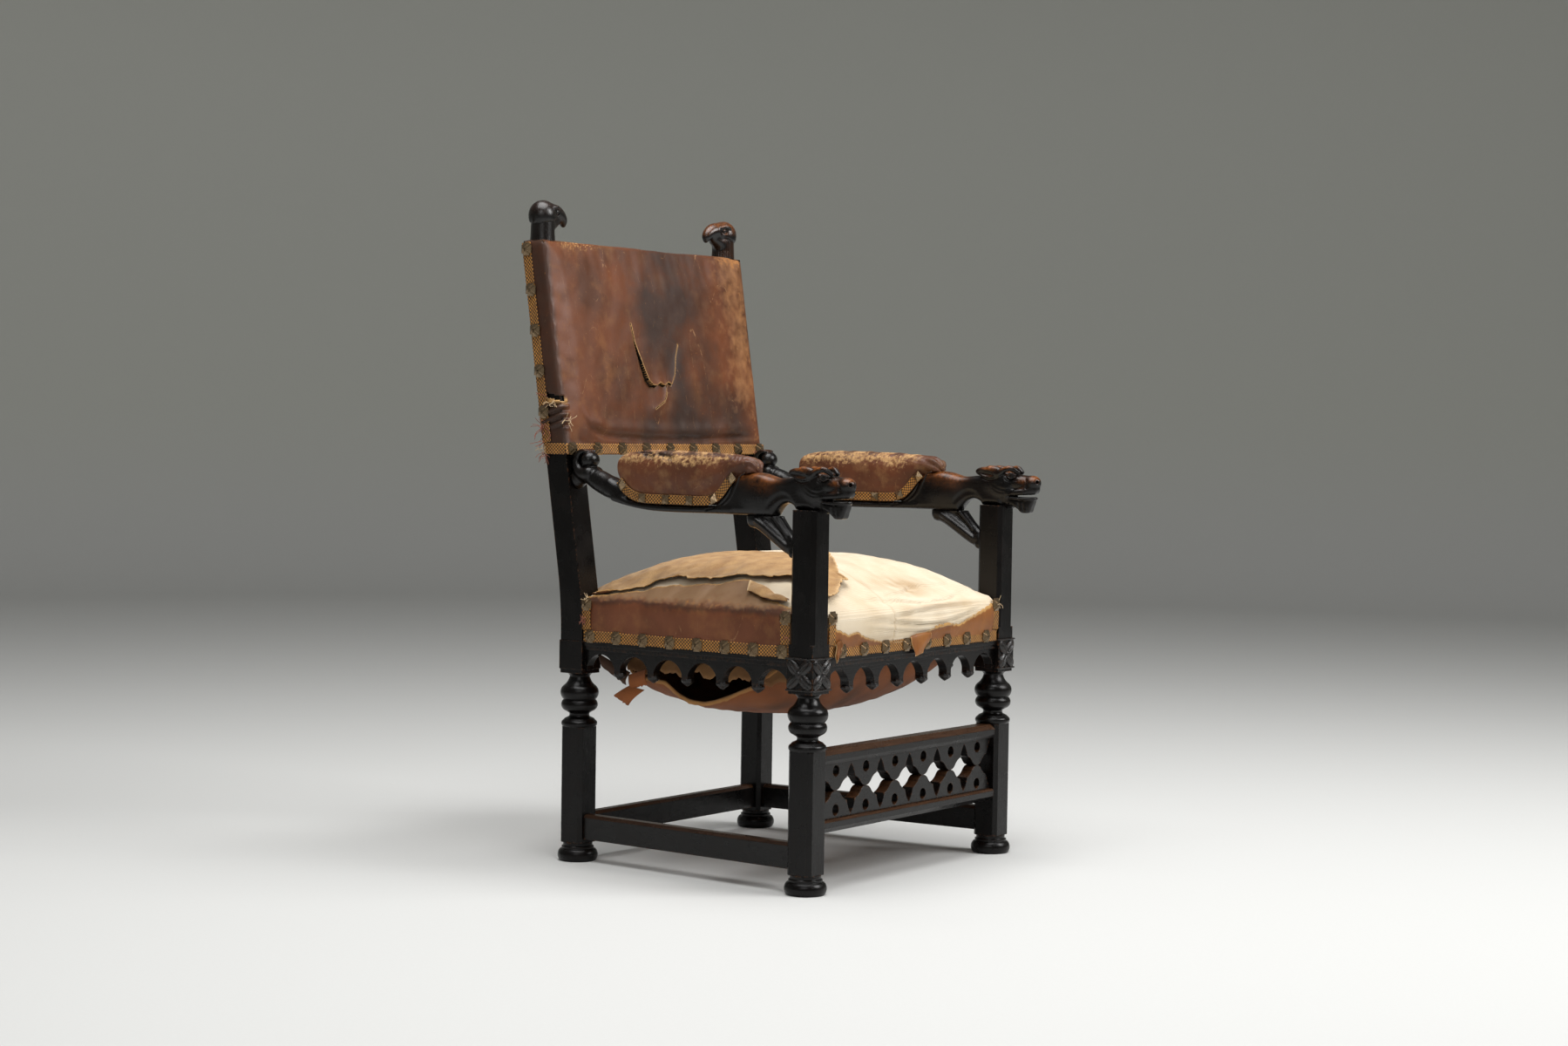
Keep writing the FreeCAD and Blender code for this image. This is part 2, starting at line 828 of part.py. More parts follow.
def tracery(label, rail_edge, sign):
    """A pierced board of lobes that meet the other board's lobes tip to tip."""
    body = new_body(label, 0, -half_depth)
    span = WALL_LENGTHS["front"]
    pitch = span / d.lobe_count
    reach = (d.stretcher_rail_under - d.stretcher_low_top) / 2

    def up(height):
        return rail_edge + height * sign

    half_tongue = d.tongue_thickness / 2
    block(body, "Additive", (-span / 2, span / 2), (-half_tongue, half_tongue),
          (up(-d.tracery_tongue), up(d.lobe_root)))
    left = pitch / 2 - span / 2
    lobe = pad(body, outline(body, "XZ_Plane", [
        (left + pitch / 2, up(size(0))),
        (left + pitch / 2, up(d.lobe_root)),
        (left + d.lobe_shoulder, up(d.lobe_shoulder_height), -d.lobe_shoulder_round * sign),
        (left + d.lobe_waist, up(d.lobe_waist_height), -d.lobe_waist_round * sign),
        (left, up(reach), d.lobe_tip_round * sign),
        (left - d.lobe_waist, up(d.lobe_waist_height), d.lobe_tip_round * sign),
        (left - d.lobe_shoulder, up(d.lobe_shoulder_height), -d.lobe_waist_round * sign),
        (left - pitch / 2, up(d.lobe_root), -d.lobe_shoulder_round * sign),
        (left - pitch / 2, up(size(0))),
    ]), d.tracery_thickness, both_ways=True)
    repeat(body, lobe, "X_Axis", span - pitch, d.lobe_count)
    hole = cut_through(body, circle(body, "XZ_Plane", left, up(d.lobe_hole_height), d.lobe_hole_radius))
    repeat(body, hole, "X_Axis", span - pitch, d.lobe_count)
    return body


apron_outer = half_leg - d.apron_inset
apron_inner = apron_outer - d.apron_thickness
apron_end = (d.rosette_side - d.leg_side) / 2


def apron(wall, arches):
    """A board with round arches on short necks, and pointed, faceted drops between them."""
    body = new_body(f"apron_{wall}")
    span = WALL_LENGTHS[wall]
    slab(body, wall_strip(wall, apron_outer, apron_inner, apron_end, span - apron_end),
         d.apron_low, d.rosette_top)
    pitch = span / arches
    first = pitch / 2 - span / 2
    plane, axis = ("XZ_Plane", "X_Axis") if wall == "front" else ("YZ_Plane", "Y_Axis")
    springing = d.arch_top - d.arch_rise
    below = d.apron_low - d.arch_rise
    round_arch = (d.arch_half * d.arch_half + d.arch_rise * d.arch_rise) / (d.arch_rise * 2)
    arch = cut_through(body, outline(body, plane, [
        (first - d.arch_half, below),
        (first + d.arch_half, below),
        (first + d.arch_half, springing),
        (first, d.arch_top, round_arch),
        (first - d.arch_half, springing, round_arch),
    ]))
    repeat(body, arch, axis, span - pitch, arches)
    for number in range(1, int(arches.value)):
        x, y = wall_point(wall, (apron_outer + apron_inner) / 2, pitch * number)
        drop = body.newObject("PartDesign::AdditivePrism", "Drop")
        drop.Polygon = int(d.drop_sides.value)
        drop.Placement.Rotation = FreeCAD.Rotation(FreeCAD.Vector(0, 0, 1), 180 / d.drop_sides.value)
        bind(drop, "Circumradius", d.drop_radius)
        bind(drop, "Height", d.drop_height)
        point = body.newObject("PartDesign::AdditiveCone", "DropPoint")
        bind(point, "Radius1", d.drop_point_radius)
        bind(point, "Radius2", d.drop_radius * math.cos(math.pi / d.drop_sides.value))
        bind(point, "Height", d.drop_bottom - d.drop_point)
        for feature, low in ((drop, d.drop_bottom), (point, d.drop_point)):
            for letter, length in zip("xyz", (x, y, low)):
                bind(feature, f"Placement.Base.{letter}", length)
    return body


def apron_moulding(wall):
    """A stepped moulding along the top of an apron."""
    body = new_body(f"apron_moulding_{wall}")
    wide = apron_outer + d.moulding_projection
    narrow = apron_outer + d.moulding_low_projection
    end = WALL_LENGTHS[wall] - apron_end
    slab(body, wall_strip(wall, narrow, apron_outer, apron_end, end), d.moulding_bottom, d.rosette_top)
    slab(body, wall_strip(wall, wide, apron_outer, apron_end, end), d.moulding_step, d.rosette_top)
    return body


def corner_blocks():
    """Triangular glue blocks in the corners of the seat frame."""
    blocks = []
    low = d.rosette_top + d.corner_block_margin
    high = d.rail_top - d.corner_block_margin
    for name, side in SIDES.items():
        for axis, facing in ((half_front, -1), (half_back, 1)):
            body = new_body(f"corner_block_{name}_{facing}")
            x = (axis - half_leg - d.fit_gap) * side
            y = (half_depth - half_leg - d.fit_gap) * facing
            slab(body, [(x, y), (x - d.corner_block_leg * side, y),
                        (x, y - d.corner_block_leg * facing)], low, high)
            blocks.append(body)
    return group("corner_blocks", blocks)


# Back frame and finials

def cross_rail_middle(z):
    """Plan depth of the middle of a cross rail, whose rear is flush with the posts."""
    return half_depth + post_rear(z) - d.cross_rail_thickness / 2


def cross_rail(label, low):
    """A rail between the back posts, tenoned into them."""
    body = new_body(label)
    high = low + d.cross_rail_height
    front = d.cross_rail_thickness
    shape = [(half_depth + post_rear(z) - depth, z)
             for z, depth in ((low, front), (high, front), (high, size(0)), (low, size(0)))]
    end = half_back - half_leg
    side_slab(body, shape, -end, end)
    heights = tenon_heights(low, high)
    tenons_across(body, "back", cross_rail_middle((low + high) / 2), heights)
    return body


def finial(name, side):
    """A bird's head on a turned neck, with its beak turned inwards."""
    body = new_body(f"eagle_finial_{name}", half_back * side, half_depth + d.finial_from_post)
    base = d.post_top
    brow = base + d.finial_brow_height
    turn(body, [
        (0, base - d.finial_spigot_length),
        (d.finial_spigot_radius, base - d.finial_spigot_length),
        (d.finial_spigot_radius, base),
        (d.finial_base_radius, base),
        (d.finial_neck_radius, base + d.finial_neck_height),
        (d.finial_neck_radius, brow),
        (d.finial_brow_radius, brow),
        (0, d.finial_top, d.finial_dome_round),
    ], "YZ_Plane")
    facing = -side
    beak = outline(body, "XZ_Plane", [
        (d.beak_root * facing, base + d.beak_under),
        (d.beak_root * facing, base + d.beak_top),
        (d.beak_reach * facing, base + d.beak_tip, -d.beak_round * facing),
    ])
    pad(body, beak, d.beak_width, both_ways=True)
    return body


# Arms

def arm_body(label, side):
    """A body on the line from the front leg axis to the back leg axis; its +Y runs to the back."""
    return new_body(label, half_front * side, -half_depth, splay * side)


def arm(name, side):
    """An arm sawn to its side outline: open-mouthed head, neck, trough for the pad and rear scroll."""
    body = arm_body(f"arm_{name}", side)
    low = d.arm_under
    shape = outline(body, "YZ_Plane", [
        (d.arm_rear, d.arm_rear_low),
        (d.arm_rise_end, d.arm_rise_height),
        (d.arm_rise, low),
        (d.neck_arch, low),
        (half_leg, d.arm_post_top, d.neck_arch_round),
        (-half_leg - d.bracket_gap * 2, d.arm_post_top),
        (d.chin, low),
        (d.lip, d.lip_height, -d.jaw_round),
        (d.mouth_corner, d.mouth_height),
        (d.lip, d.upper_lip_height),
        (d.nose, d.nose_height, -d.nose_round),
        (d.brow, d.brow_height, -d.brow_round),
        (d.ear, d.ear_height),
        (d.nape, d.nape_height),
        (d.collar_line, d.collar_line_height),
        (d.trough_front, d.trough_front_height),
        (d.trough_low_front, d.trough_height, d.trough_round),
        (d.trough_low_rear, d.trough_height),
        (d.trough_rear, d.trough_rear_height, d.trough_round),
        (d.volute_front, d.volute_front_height, d.trough_round),
        (d.volute_rear, d.volute_rear_height, -d.volute_round),
        (d.arm_rear + d.arm_rear_lean, d.arm_rear_top, -d.volute_round),
    ])
    pad(body, shape, d.arm_width, both_ways=True)
    half = d.arm_tenon_width / 2
    middle = (d.arm_rear_low + d.arm_rear_top) / 2
    height = d.arm_tenon_height / 2
    block(body, "Additive", (-half, half), (d.arm_rear - d.tenon_depth, d.arm_rear + d.tenon_depth),
          (middle - height, middle + height))
    dowel_start = (0, 0, d.arm_post_top - d.dowel_length / 2)
    rod(body, "Subtractive", d.dowel_radius, dowel_start, d.dowel_length)
    return body


def arm_bracket(name, side):
    """A bent leg that props the neck of the arm from the post."""
    body = arm_body(f"arm_bracket_{name}", side)
    face = half_leg + d.bracket_gap
    top = d.arm_under - d.fit_gap
    shape = outline(body, "YZ_Plane", [
        (face, d.paw_low),
        (d.bracket_heel, d.bracket_heel_height, d.bracket_lower_round),
        (d.bracket_rear, top),
        (d.neck_arch, top),
        (face, d.paw_high, -d.bracket_upper_round),
    ])
    pad(body, shape, d.bracket_width, both_ways=True)
    return body


def arm_dowels():
    """Dowels that pin the arms to the tops of the front legs."""
    dowels = []
    for name, side in SIDES.items():
        body = new_body(f"arm_dowel_{name}", half_front * side, -half_depth)
        start = (0, 0, d.arm_post_top - d.dowel_length / 2)
        rod(body, "Additive", d.dowel_radius, start, d.dowel_length)
        dowels.append(body)
    return group("arm_dowels", dowels)


def arm_pad(name, side):
    """A stuffed pad with upright lower sides and a crowned top."""
    body = arm_body(f"arm_pad_{name}", side)
    low = d.trough_height + d.pad_clearance
    rise = d.pad_end_rise
    half = d.pad_half_width
    middle = (d.pad_front + d.pad_rear) / 2
    stations = [
        (d.pad_front, low + rise, d.pad_end_top),
        (d.trough_low_front, low + d.pad_turn_rise, d.pad_top),
        (d.trough_low_front + d.pad_turn, low + d.pad_clearance, d.pad_top),
        (middle, low, d.pad_top),
        (d.trough_low_rear - d.pad_turn, low + d.pad_clearance, d.pad_top),
        (d.trough_low_rear, low + d.pad_turn_rise, d.pad_top),
        (d.pad_rear, low + rise, d.pad_end_top),
    ]
    sections = []
    for station, bottom, top in stations:
        side_top = bottom + d.pad_side_height
        sections.append(outline(body, "XZ_Plane", [
            (-half, bottom),
            (half, bottom),
            (half, side_top),
            (0, top, d.pad_crown_round + (top - side_top) / 2),
            (-half, side_top, d.pad_crown_round + (top - side_top) / 2),
        ], -station))
    loft(body, sections)
    return body


def arm_braid(name, side):
    """Braid along both sides of a pad, following the trough."""
    body = new_body(f"arm_braid_{name}", half_front * side, -half_depth, splay * side, loose=True)
    low = d.trough_height + d.pad_clearance
    high = low + d.braid_width
    shape = [
        (d.trough_low_front, low),
        (d.trough_low_rear, low),
        (d.trough_low_rear + d.braid_width, high),
        (d.trough_low_front - d.braid_width, high),
    ]
    start = d.pad_half_width + d.fit_gap
    for face in SIDES.values():
        side_slab(body, shape, start * face, (start + d.braid_thickness) * face)
    return body


# Seat upholstery

def seat_webbing():
    """Two crossing layers of webbing over the seat rails."""
    reach_x = half_back
    reach_y = half_depth - d.web_width / 2
    middle = (d.web_count - 1) / 2
    layers = []
    lengthwise = new_body("webbing_front_to_back", loose=True)
    x = -d.web_pitch * middle
    strip = block(lengthwise, "Additive", (x - d.web_width / 2, x + d.web_width / 2), (-reach_y, reach_y),
                  (d.rail_top, d.rail_top + d.web_thickness))
    repeat(lengthwise, strip, "X_Axis", d.web_pitch * middle * 2, d.web_count)
    layers.append(lengthwise)
    across = new_body("webbing_side_to_side", loose=True)
    y = -d.web_pitch * middle
    low = d.rail_top + d.web_thickness
    strip = block(across, "Additive", (-reach_x, reach_x), (y - d.web_width / 2, y + d.web_width / 2),
                  (low, low + d.web_thickness))
    repeat(across, strip, "Y_Axis", d.web_pitch * middle * 2, d.web_count)
    layers.append(across)
    return group("seat_webbing", layers)


def seat_plan(inset, corner=None):
    """The seat's plan, tapered to the back, with plain or rounded corners."""
    front = -half_depth - rail_outer + inset
    back = half_depth + rail_outer - inset
    front_x = half_spacing(front) + rail_outer - inset
    back_x = half_spacing(back) + rail_outer - inset
    if corner is None:
        return [(-front_x, front), (front_x, front), (back_x, back), (-back_x, back)]
    return [
        (-front_x + corner, front, corner),
        (front_x - corner, front),
        (front_x, front + corner, corner),
        (back_x, back - corner),
        (back_x - corner, back, corner),
        (-back_x + corner, back),
        (-back_x, back - corner, corner),
        (-front_x, front + corner),
    ]


def clear_posts(body, low, high):
    """Cut room for the four posts out of an upholstered piece."""
    for side in SIDES.values():
        for axis, facing in ((half_front, -1), (half_back, 1)):
            inner_x = (axis - half_leg - d.fit_gap) * side
            inner_y = (half_depth - half_leg - d.fit_gap) * facing
            block(body, "Subtractive", (inner_x, inner_x + d.post_clearance * side),
                  (inner_y, inner_y + d.post_clearance * facing), (low, high))


def seat_base_cloth():
    """Cloth over the webbing, under the stuffing."""
    body = new_body("seat_base_cloth")
    low = d.rail_top + d.web_thickness * 2
    slab(body, seat_plan(d.cushion_edge_inset), low, d.base_cloth_top)
    clear_posts(body, low - d.web_thickness, d.base_cloth_top + d.web_thickness)
    return body


def seat_cushion():
    """A crowned cushion over the base cloth, cut away round the posts."""
    body = new_body("seat_cushion")
    crown = [
        (d.base_cloth_top, d.cushion_edge_inset),
        (d.cushion_swell_height, d.cushion_edge_inset / 2),
        (d.cushion_shoulder_height, d.cushion_shoulder_inset),
        (d.cushion_slope_height, d.cushion_slope_inset),
        (d.cushion_crest_height, d.cushion_crest_inset),
        (d.cushion_top, d.cushion_top_inset),
    ]
    loft(body, [outline(body, "XY_Plane", seat_plan(inset, d.cushion_corner), height)
                for height, inset in crown])
    clear_posts(body, d.rail_top, d.cushion_top)
    return body


leather_outer = rail_outer + d.leather_thickness
braid_outer = leather_outer + d.braid_thickness


def seat_leather(wall):
    """A leather panel over the outside of one seat rail."""
    body = new_body(f"seat_leather_{wall}")
    slab(body, wall_strip(wall, leather_outer, rail_outer), d.rosette_top, d.seat_leather_top)
    return body


def seat_braid():
    """Braid along the foot of each leather panel, and up both ends of the side and front panels."""
    strips = []
    foot_top = d.rosette_top + d.braid_width
    for wall in WALL_LENGTHS:
        body = new_body(f"seat_braid_{wall}")
        slab(body, wall_strip(wall, braid_outer, leather_outer), d.rosette_top, foot_top)
        length = WALL_LENGTHS[wall]
        for start in (size(0), length - d.braid_width):
            strip = wall_strip(wall, braid_outer, leather_outer, start, start + d.braid_width)
            slab(body, strip, foot_top, d.seat_leather_top)
        strips.append(body)
    return group("seat_braid", strips)


WALL_TURNS = {"front": size(180), "back": size(0), "left": 90 - splay, "right": splay - 90}


def stud_row(label, x, y, z, angle, pitch, count, lean=0):
    """Pyramid nails in a row; the row runs along the body's +X and the points look along its +Y."""
    body = doc.addObject("PartDesign::Body", label)
    body.AllowCompound = True
    place(body, x, y, z)
    upright = FreeCAD.Rotation(FreeCAD.Vector(0, 0, 1), size(angle).value)
    leaning = FreeCAD.Rotation(FreeCAD.Vector(1, 0, 0), size(lean).value)
    body.Placement.Rotation = upright.multiply(leaning)
    half = d.stud_side / 2
    flat = d.stud_flat / 2
    stud = body.newObject("PartDesign::AdditiveWedge", "Stud")
    ends = {"Xmin": -half, "Xmax": half, "Zmin": -half, "Zmax": half, "Ymin": size(0), "Ymax": d.stud_height,
            "X2min": -flat, "X2max": flat, "Z2min": -flat, "Z2max": flat}
    for prop, length in ends.items():
        bind(stud, prop, length)
    if size(count).value > 1:
        repeat(body, stud, "X_Axis", size(pitch) * (size(count) - 1), count)
    return body


def seat_studs():
    """Nails along the foot of each leather panel and at the top of its end braids."""
    rows = []
    z = d.rosette_top + d.braid_width / 2
    top = d.seat_leather_top - d.braid_width / 2
    for wall, angle in WALL_TURNS.items():
        pitch, count = d.front_stud_pitch, d.front_stud_count
        if wall != "front":
            pitch, count = d.side_stud_pitch, d.side_stud_count
        length = WALL_LENGTHS[wall]
        margin = (length - pitch * (count - 1)) / 2
        start = length - margin if wall in ("front", "right") else margin
        out = braid_outer + d.fit_gap
        x, y = wall_point(wall, out, start)
        rows.append(stud_row(f"seat_studs_{wall}", x, y, z, angle, pitch, count))
        for number, station in enumerate((d.braid_width / 2, length - d.braid_width / 2)):
            x, y = wall_point(wall, out, station)
            rows.append(stud_row(f"seat_end_stud_{wall}_{number}", x, y, top, angle, pitch, 1))
    return group("seat_studs", rows)


def dust_cover():
    """A loose cloth tacked under the rails, hanging in a deep belly."""
    body = new_body("dust_cover")
    edge = rail_inner + d.fit_gap
    end = half_depth + edge
    stations = [
        (-end, d.dust_end_drop),
        (-d.dust_front_place, d.dust_mid_drop),
        (d.dust_low_place, d.dust_drop),
        (d.dust_rear_place, d.dust_mid_drop),
        (end, d.dust_end_drop),
    ]
    top = d.rosette_top - d.fit_gap
    low = top - d.cloth_thickness
    sections = []
    for y, drop in stations:
        half = half_spacing(y) + edge - d.dust_inset
        radius = (half * half + drop * drop) / (drop * 2)
        sections.append(outline(body, "XZ_Plane", [
            (-half, low),
            (half, low, radius),
            (half, top),
            (-half, top, -radius),
        ], -size(y)))
    loft(body, sections)
    return body


# Back upholstery

def back_arc(z, crown, depth, half_width):
    """The plan of the back's front at a height: an arc that swells forward between its two ends."""
    y = half_depth + post_front(z) + depth
    radius = (half_width * half_width + crown * crown) / (crown * 2)
    return (-half_width, y), (half_width, y), radius


def back_sections(body, half_width, front, rear, rear_crown, crowns):
    """Sections of a crowned sheet or pad, from the bottom of the back to its top."""
    sections = []
    for z, crown in crowns:
        start, end, radius = back_arc(z, crown, front, half_width)
        rear_start, rear_end, rear_radius = back_arc(z, crown, rear, half_width)
        corners = [start, (*end, radius), rear_end]
        corners.append((*rear_start, -rear_radius) if rear_crown else rear_start)
        sections.append(outline(body, "XY_Plane", corners, z))
    return sections


back_middle = (d.back_bottom + d.post_top) / 2
back_half = half_back + half_leg + d.leather_thickness
sheet_crowns = [(d.back_bottom, d.back_edge_crown), (back_middle, d.back_crown),
                (d.post_top, d.back_edge_crown)]


def back_stuffing():
    """The stuffing between the posts, crowned in front and flat behind."""
    body = new_body("back_stuffing")
    half = half_back - half_leg - d.fit_gap
    low = d.back_bottom + d.leather_thickness
    high = d.post_top - d.fit_gap
    slack = d.back_edge_crown / 2
    crowns = [(low, d.back_edge_crown - slack), (back_middle, d.back_crown - slack),
              (high, d.back_edge_crown - slack)]
    depth = d.post_top_rear - d.post_top_front - d.cross_rail_thickness - d.web_thickness * 2
    loft(body, back_sections(body, half, d.leather_thickness / 2, depth, False, crowns))
    return body


def back_webbing():
    """Upright strips of webbing over the two cross rails."""
    strips = []
    low = d.back_bottom + d.leather_thickness
    high = d.post_top - d.leather_thickness
    shape = [(half_depth + post_rear(z) - d.cross_rail_thickness - ahead, z)
             for z, ahead in ((low, d.fit_gap), (high, d.fit_gap),
                              (high, d.web_thickness), (low, d.web_thickness))]
    for number in (-1, 0, 1):
        body = new_body(f"back_web_{number + 2}")
        middle = d.back_web_pitch * number
        side_slab(body, shape, middle - d.back_web_width / 2, middle + d.back_web_width / 2)
        strips.append(body)
    return group("back_webbing", strips)


def back_leather():
    """Leather over the front, the sides and the top of the back, with holes for the finials."""
    body = new_body("back_leather")
    thickness = d.leather_thickness
    loft(body, back_sections(body, back_half, -thickness - d.fit_gap, -d.fit_gap, True, sheet_crowns))
    inner = half_back + half_leg + d.fit_gap
    top = d.post_top + thickness + d.fit_gap
    for side in SIDES.values():
        shape = [(half_depth + post_front(z) - thickness - d.fit_gap, z)
                 for z in (d.back_bottom, d.post_top)]
        shape += [(half_depth + post_rear(z), z) for z in (d.post_top, d.back_bottom)]
        side_slab(body, shape, inner * side, back_half * side)
    front = half_depth + d.post_top_front - thickness - d.fit_gap
    rear = half_depth + d.post_top_rear
    slab(body, rectangle(-back_half, back_half, front, front + thickness), d.post_top - thickness, top)
    slab(body, rectangle(-back_half, back_half, front, rear), d.post_top + d.fit_gap, top)
    for side in SIDES.values():
        rod(body, "Subtractive", d.finial_base_radius + d.fit_gap,
            (half_back * side, half_depth + d.finial_from_post, d.post_top - thickness), d.finial_hole_height)
    return body


def back_rear_cover():
    """Cloth over the rear of the back."""
    body = new_body("back_rear_cover")
    shape = [(half_depth + post_rear(z) + behind, z)
             for z, behind in ((d.back_bottom, d.fit_gap), (d.post_top, d.fit_gap),
                               (d.post_top, d.fit_gap + d.cloth_thickness),
                               (d.back_bottom, d.fit_gap + d.cloth_thickness))]
    half = half_back + half_leg
    side_slab(body, shape, -half, half)
    return body


def back_braid():
    """Braid along the foot of the back, and up the rear of both its sides."""
    body = new_body("back_braid", loose=True)
    low = d.back_bottom
    high = low + d.braid_width
    front = -d.leather_thickness - d.fit_gap * 2
    crowns = [(low, d.back_edge_crown), (high, d.back_edge_crown * 2)]
    loft(body, back_sections(body, back_half, front - d.foot_braid_front, front - d.foot_braid_rear, True, crowns))
    start = back_half + d.fit_gap
    for side in SIDES.values():
        foot_strip = [(half_depth + post_front(z), z) for z in (low, high)]
        foot_strip += [(half_depth + post_rear(z), z) for z in (high, low)]
        side_slab(body, foot_strip, start * side, (start + d.braid_thickness) * side)
        upright = [(half_depth + post_rear(z) - d.braid_width, z) for z in (high, d.post_top)]
        upright += [(half_depth + post_rear(z), z) for z in (d.post_top, high)]
        side_slab(body, upright, start * side, (start + d.braid_thickness) * side)
    return body


def back_studs():
    """A row across the foot of the back, and a row up each side."""
    rows = []
    z = d.back_bottom + d.braid_width / 2
    lean = math.degrees(math.atan(post_slope.value))
    span = d.back_stud_pitch * (d.back_stud_count - 1)
    front = half_depth + post_front(z) - d.leather_thickness - d.foot_stud_stand
    rows.append(stud_row("back_studs_foot", span / 2, front, z, 180, d.back_stud_pitch, d.back_stud_count, lean))
    out = back_half + d.braid_thickness + d.fit_gap * 2
    for name, side in SIDES.items():
        for number in range(int(d.back_side_stud_count.value)):
            z = d.back_bottom + d.back_side_stud_first + d.back_side_stud_pitch * number
            y = half_depth + post_rear(z) - d.braid_width / 2
            label = f"back_stud_{name}_{number}"
            rows.append(stud_row(label, out * side, y, z, -90 * side, d.back_stud_pitch, 1))
    return group("back_studs", rows)


def arm_studs():
    """Nails along the braid on both sides of each arm pad."""
    rows = []
    z = d.trough_height + d.pad_clearance + d.braid_width / 2
    out = d.pad_half_width + d.braid_thickness + d.fit_gap * 2
    span = d.arm_stud_pitch * (d.arm_stud_count - 1)
    middle = (d.trough_low_front + d.trough_low_rear) / 2
    for name, side in SIDES.items():
        for face in SIDES.values():
            along = middle - span / 2 if face == LEFT else middle + span / 2
            angle = 90 if face == LEFT else -90
            cosine = math.cos(math.radians(splay.value))
            sine = math.sin(math.radians(splay.value)) * side
            x = half_front * side + out * face * cosine - along * sine
            y = along * cosine + out * face * sine - half_depth
            rows.append(stud_row(f"arm_studs_{name}_{face}", x, y, z, angle + splay * side,
                                 d.arm_stud_pitch, d.arm_stud_count))
    return group("arm_studs", rows)


# The whole chair

parts = []
for name, side in SIDES.items():
    parts += [
        front_leg(name, side),
        back_post(name, side),
        foot(f"foot_front_{name}", half_front * side, -half_depth),
        foot(f"foot_back_{name}", half_back * side, half_depth),
        finial(name, side),
        arm(name, side),
        arm_bracket(name, side),
        arm_pad(name, side),
        arm_braid(name, side),
    ]
for wall in WALL_LENGTHS:
    parts += [seat_rail(wall), seat_leather(wall)]
for wall, arches in (("front", d.front_arches), ("left", d.side_arches), ("right", d.side_arches)):
    parts += [apron(wall, arches), apron_moulding(wall)]
parts += [low_stretcher(wall) for wall in ("left", "right", "back")]
parts += [
    front_stretcher_rail("front_stretcher_top_rail", d.stretcher_rail_top, d.stretcher_rail_under, True,
                         front_rail_joints[0]),
    front_stretcher_rail("front_stretcher_bottom_rail", d.stretcher_low_top, d.stretcher_low_under, False,
                         front_rail_joints[1]),
    tracery("tracery_upper", d.stretcher_rail_under, -1),
    tracery("tracery_lower", d.stretcher_low_top, 1),
    cross_rail("back_cross_rail_top", d.post_top - d.cross_rail_height),
    cross_rail("back_cross_rail_bottom", d.back_bottom),
    corner_blocks(),
    arm_dowels(),
    arm_studs(),
    seat_webbing(),
    seat_base_cloth(),
    seat_cushion(),
    seat_braid(),
    seat_studs(),
    dust_cover(),
    back_webbing(),
    back_stuffing(),
    back_leather(),
    back_rear_cover(),
    back_braid(),
    back_studs(),
]
doc.recompute()

faults = [item.Name for item in doc.Objects if {"Invalid", "Error"} & set(item.State)]
faults += [part.Label for part in parts if part.Shape.isNull() or not part.Shape.isValid()]
if faults:
    raise RuntimeError(f"these objects failed: {faults}")

os.makedirs("parts", exist_ok=True)
for part in parts:
    part.Shape.exportStep(f"parts/{part.Label}.step")
print(f"{len(parts)} parts written")
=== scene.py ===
"""Gothic throne chair: the looks of its wood, leather, calico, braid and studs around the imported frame."""
import functools
import json
import math

import bpy
import bmesh
import numpy as np
import openvdb
from mathutils import Matrix, Vector
from mathutils.bvhtree import BVHTree


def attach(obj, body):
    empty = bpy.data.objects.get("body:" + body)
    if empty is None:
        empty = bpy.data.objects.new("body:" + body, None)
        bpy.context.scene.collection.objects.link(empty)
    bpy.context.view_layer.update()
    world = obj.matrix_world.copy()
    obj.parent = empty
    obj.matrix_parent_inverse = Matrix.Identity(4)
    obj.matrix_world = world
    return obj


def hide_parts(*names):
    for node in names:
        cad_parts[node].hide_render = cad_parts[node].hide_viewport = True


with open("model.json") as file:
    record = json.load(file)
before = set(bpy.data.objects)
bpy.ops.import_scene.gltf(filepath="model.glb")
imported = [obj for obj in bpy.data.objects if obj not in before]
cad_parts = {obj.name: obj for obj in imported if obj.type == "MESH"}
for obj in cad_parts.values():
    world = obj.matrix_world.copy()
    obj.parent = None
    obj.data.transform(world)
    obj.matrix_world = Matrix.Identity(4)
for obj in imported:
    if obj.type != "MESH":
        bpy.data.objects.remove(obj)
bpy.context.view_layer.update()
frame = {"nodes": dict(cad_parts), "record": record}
nodes = frame["nodes"]
SIDES = {"left": -1, "right": 1}
MM = 0.001


# Camera, as the photograph was taken

PHOTO_WIDTH = 1799
CAMERA_PLACE = (-3.6945, -2.6453, 0.7262)
CAMERA_YAW = math.radians(54.4987)
CAMERA_PITCH = math.radians(2.0174)
CAMERA_ROLL = math.radians(0.8654)
FOCAL_PIXELS = 3077.57
SENSOR_MM = 36


def make_camera():
    """A camera at the photograph's place, with its focal length and its slight roll."""
    data = bpy.data.cameras.new("camera")
    data.sensor_width = SENSOR_MM
    data.lens = FOCAL_PIXELS * SENSOR_MM / PHOTO_WIDTH
    camera = bpy.data.objects.new("camera", data)
    bpy.context.collection.objects.link(camera)
    ahead = Vector((
        math.sin(CAMERA_YAW) * math.cos(CAMERA_PITCH),
        math.cos(CAMERA_YAW) * math.cos(CAMERA_PITCH),
        -math.sin(CAMERA_PITCH),
    ))
    level = Vector((math.cos(CAMERA_YAW), -math.sin(CAMERA_YAW), 0))
    above = level.cross(ahead)
    right = level * math.cos(CAMERA_ROLL) + above * math.sin(CAMERA_ROLL)
    up = above * math.cos(CAMERA_ROLL) - level * math.sin(CAMERA_ROLL)
    turn = Matrix((right, up, -ahead)).transposed()
    camera.matrix_world = Matrix.Translation(CAMERA_PLACE) @ turn.to_4x4()
    bpy.context.scene.camera = camera


# Materials

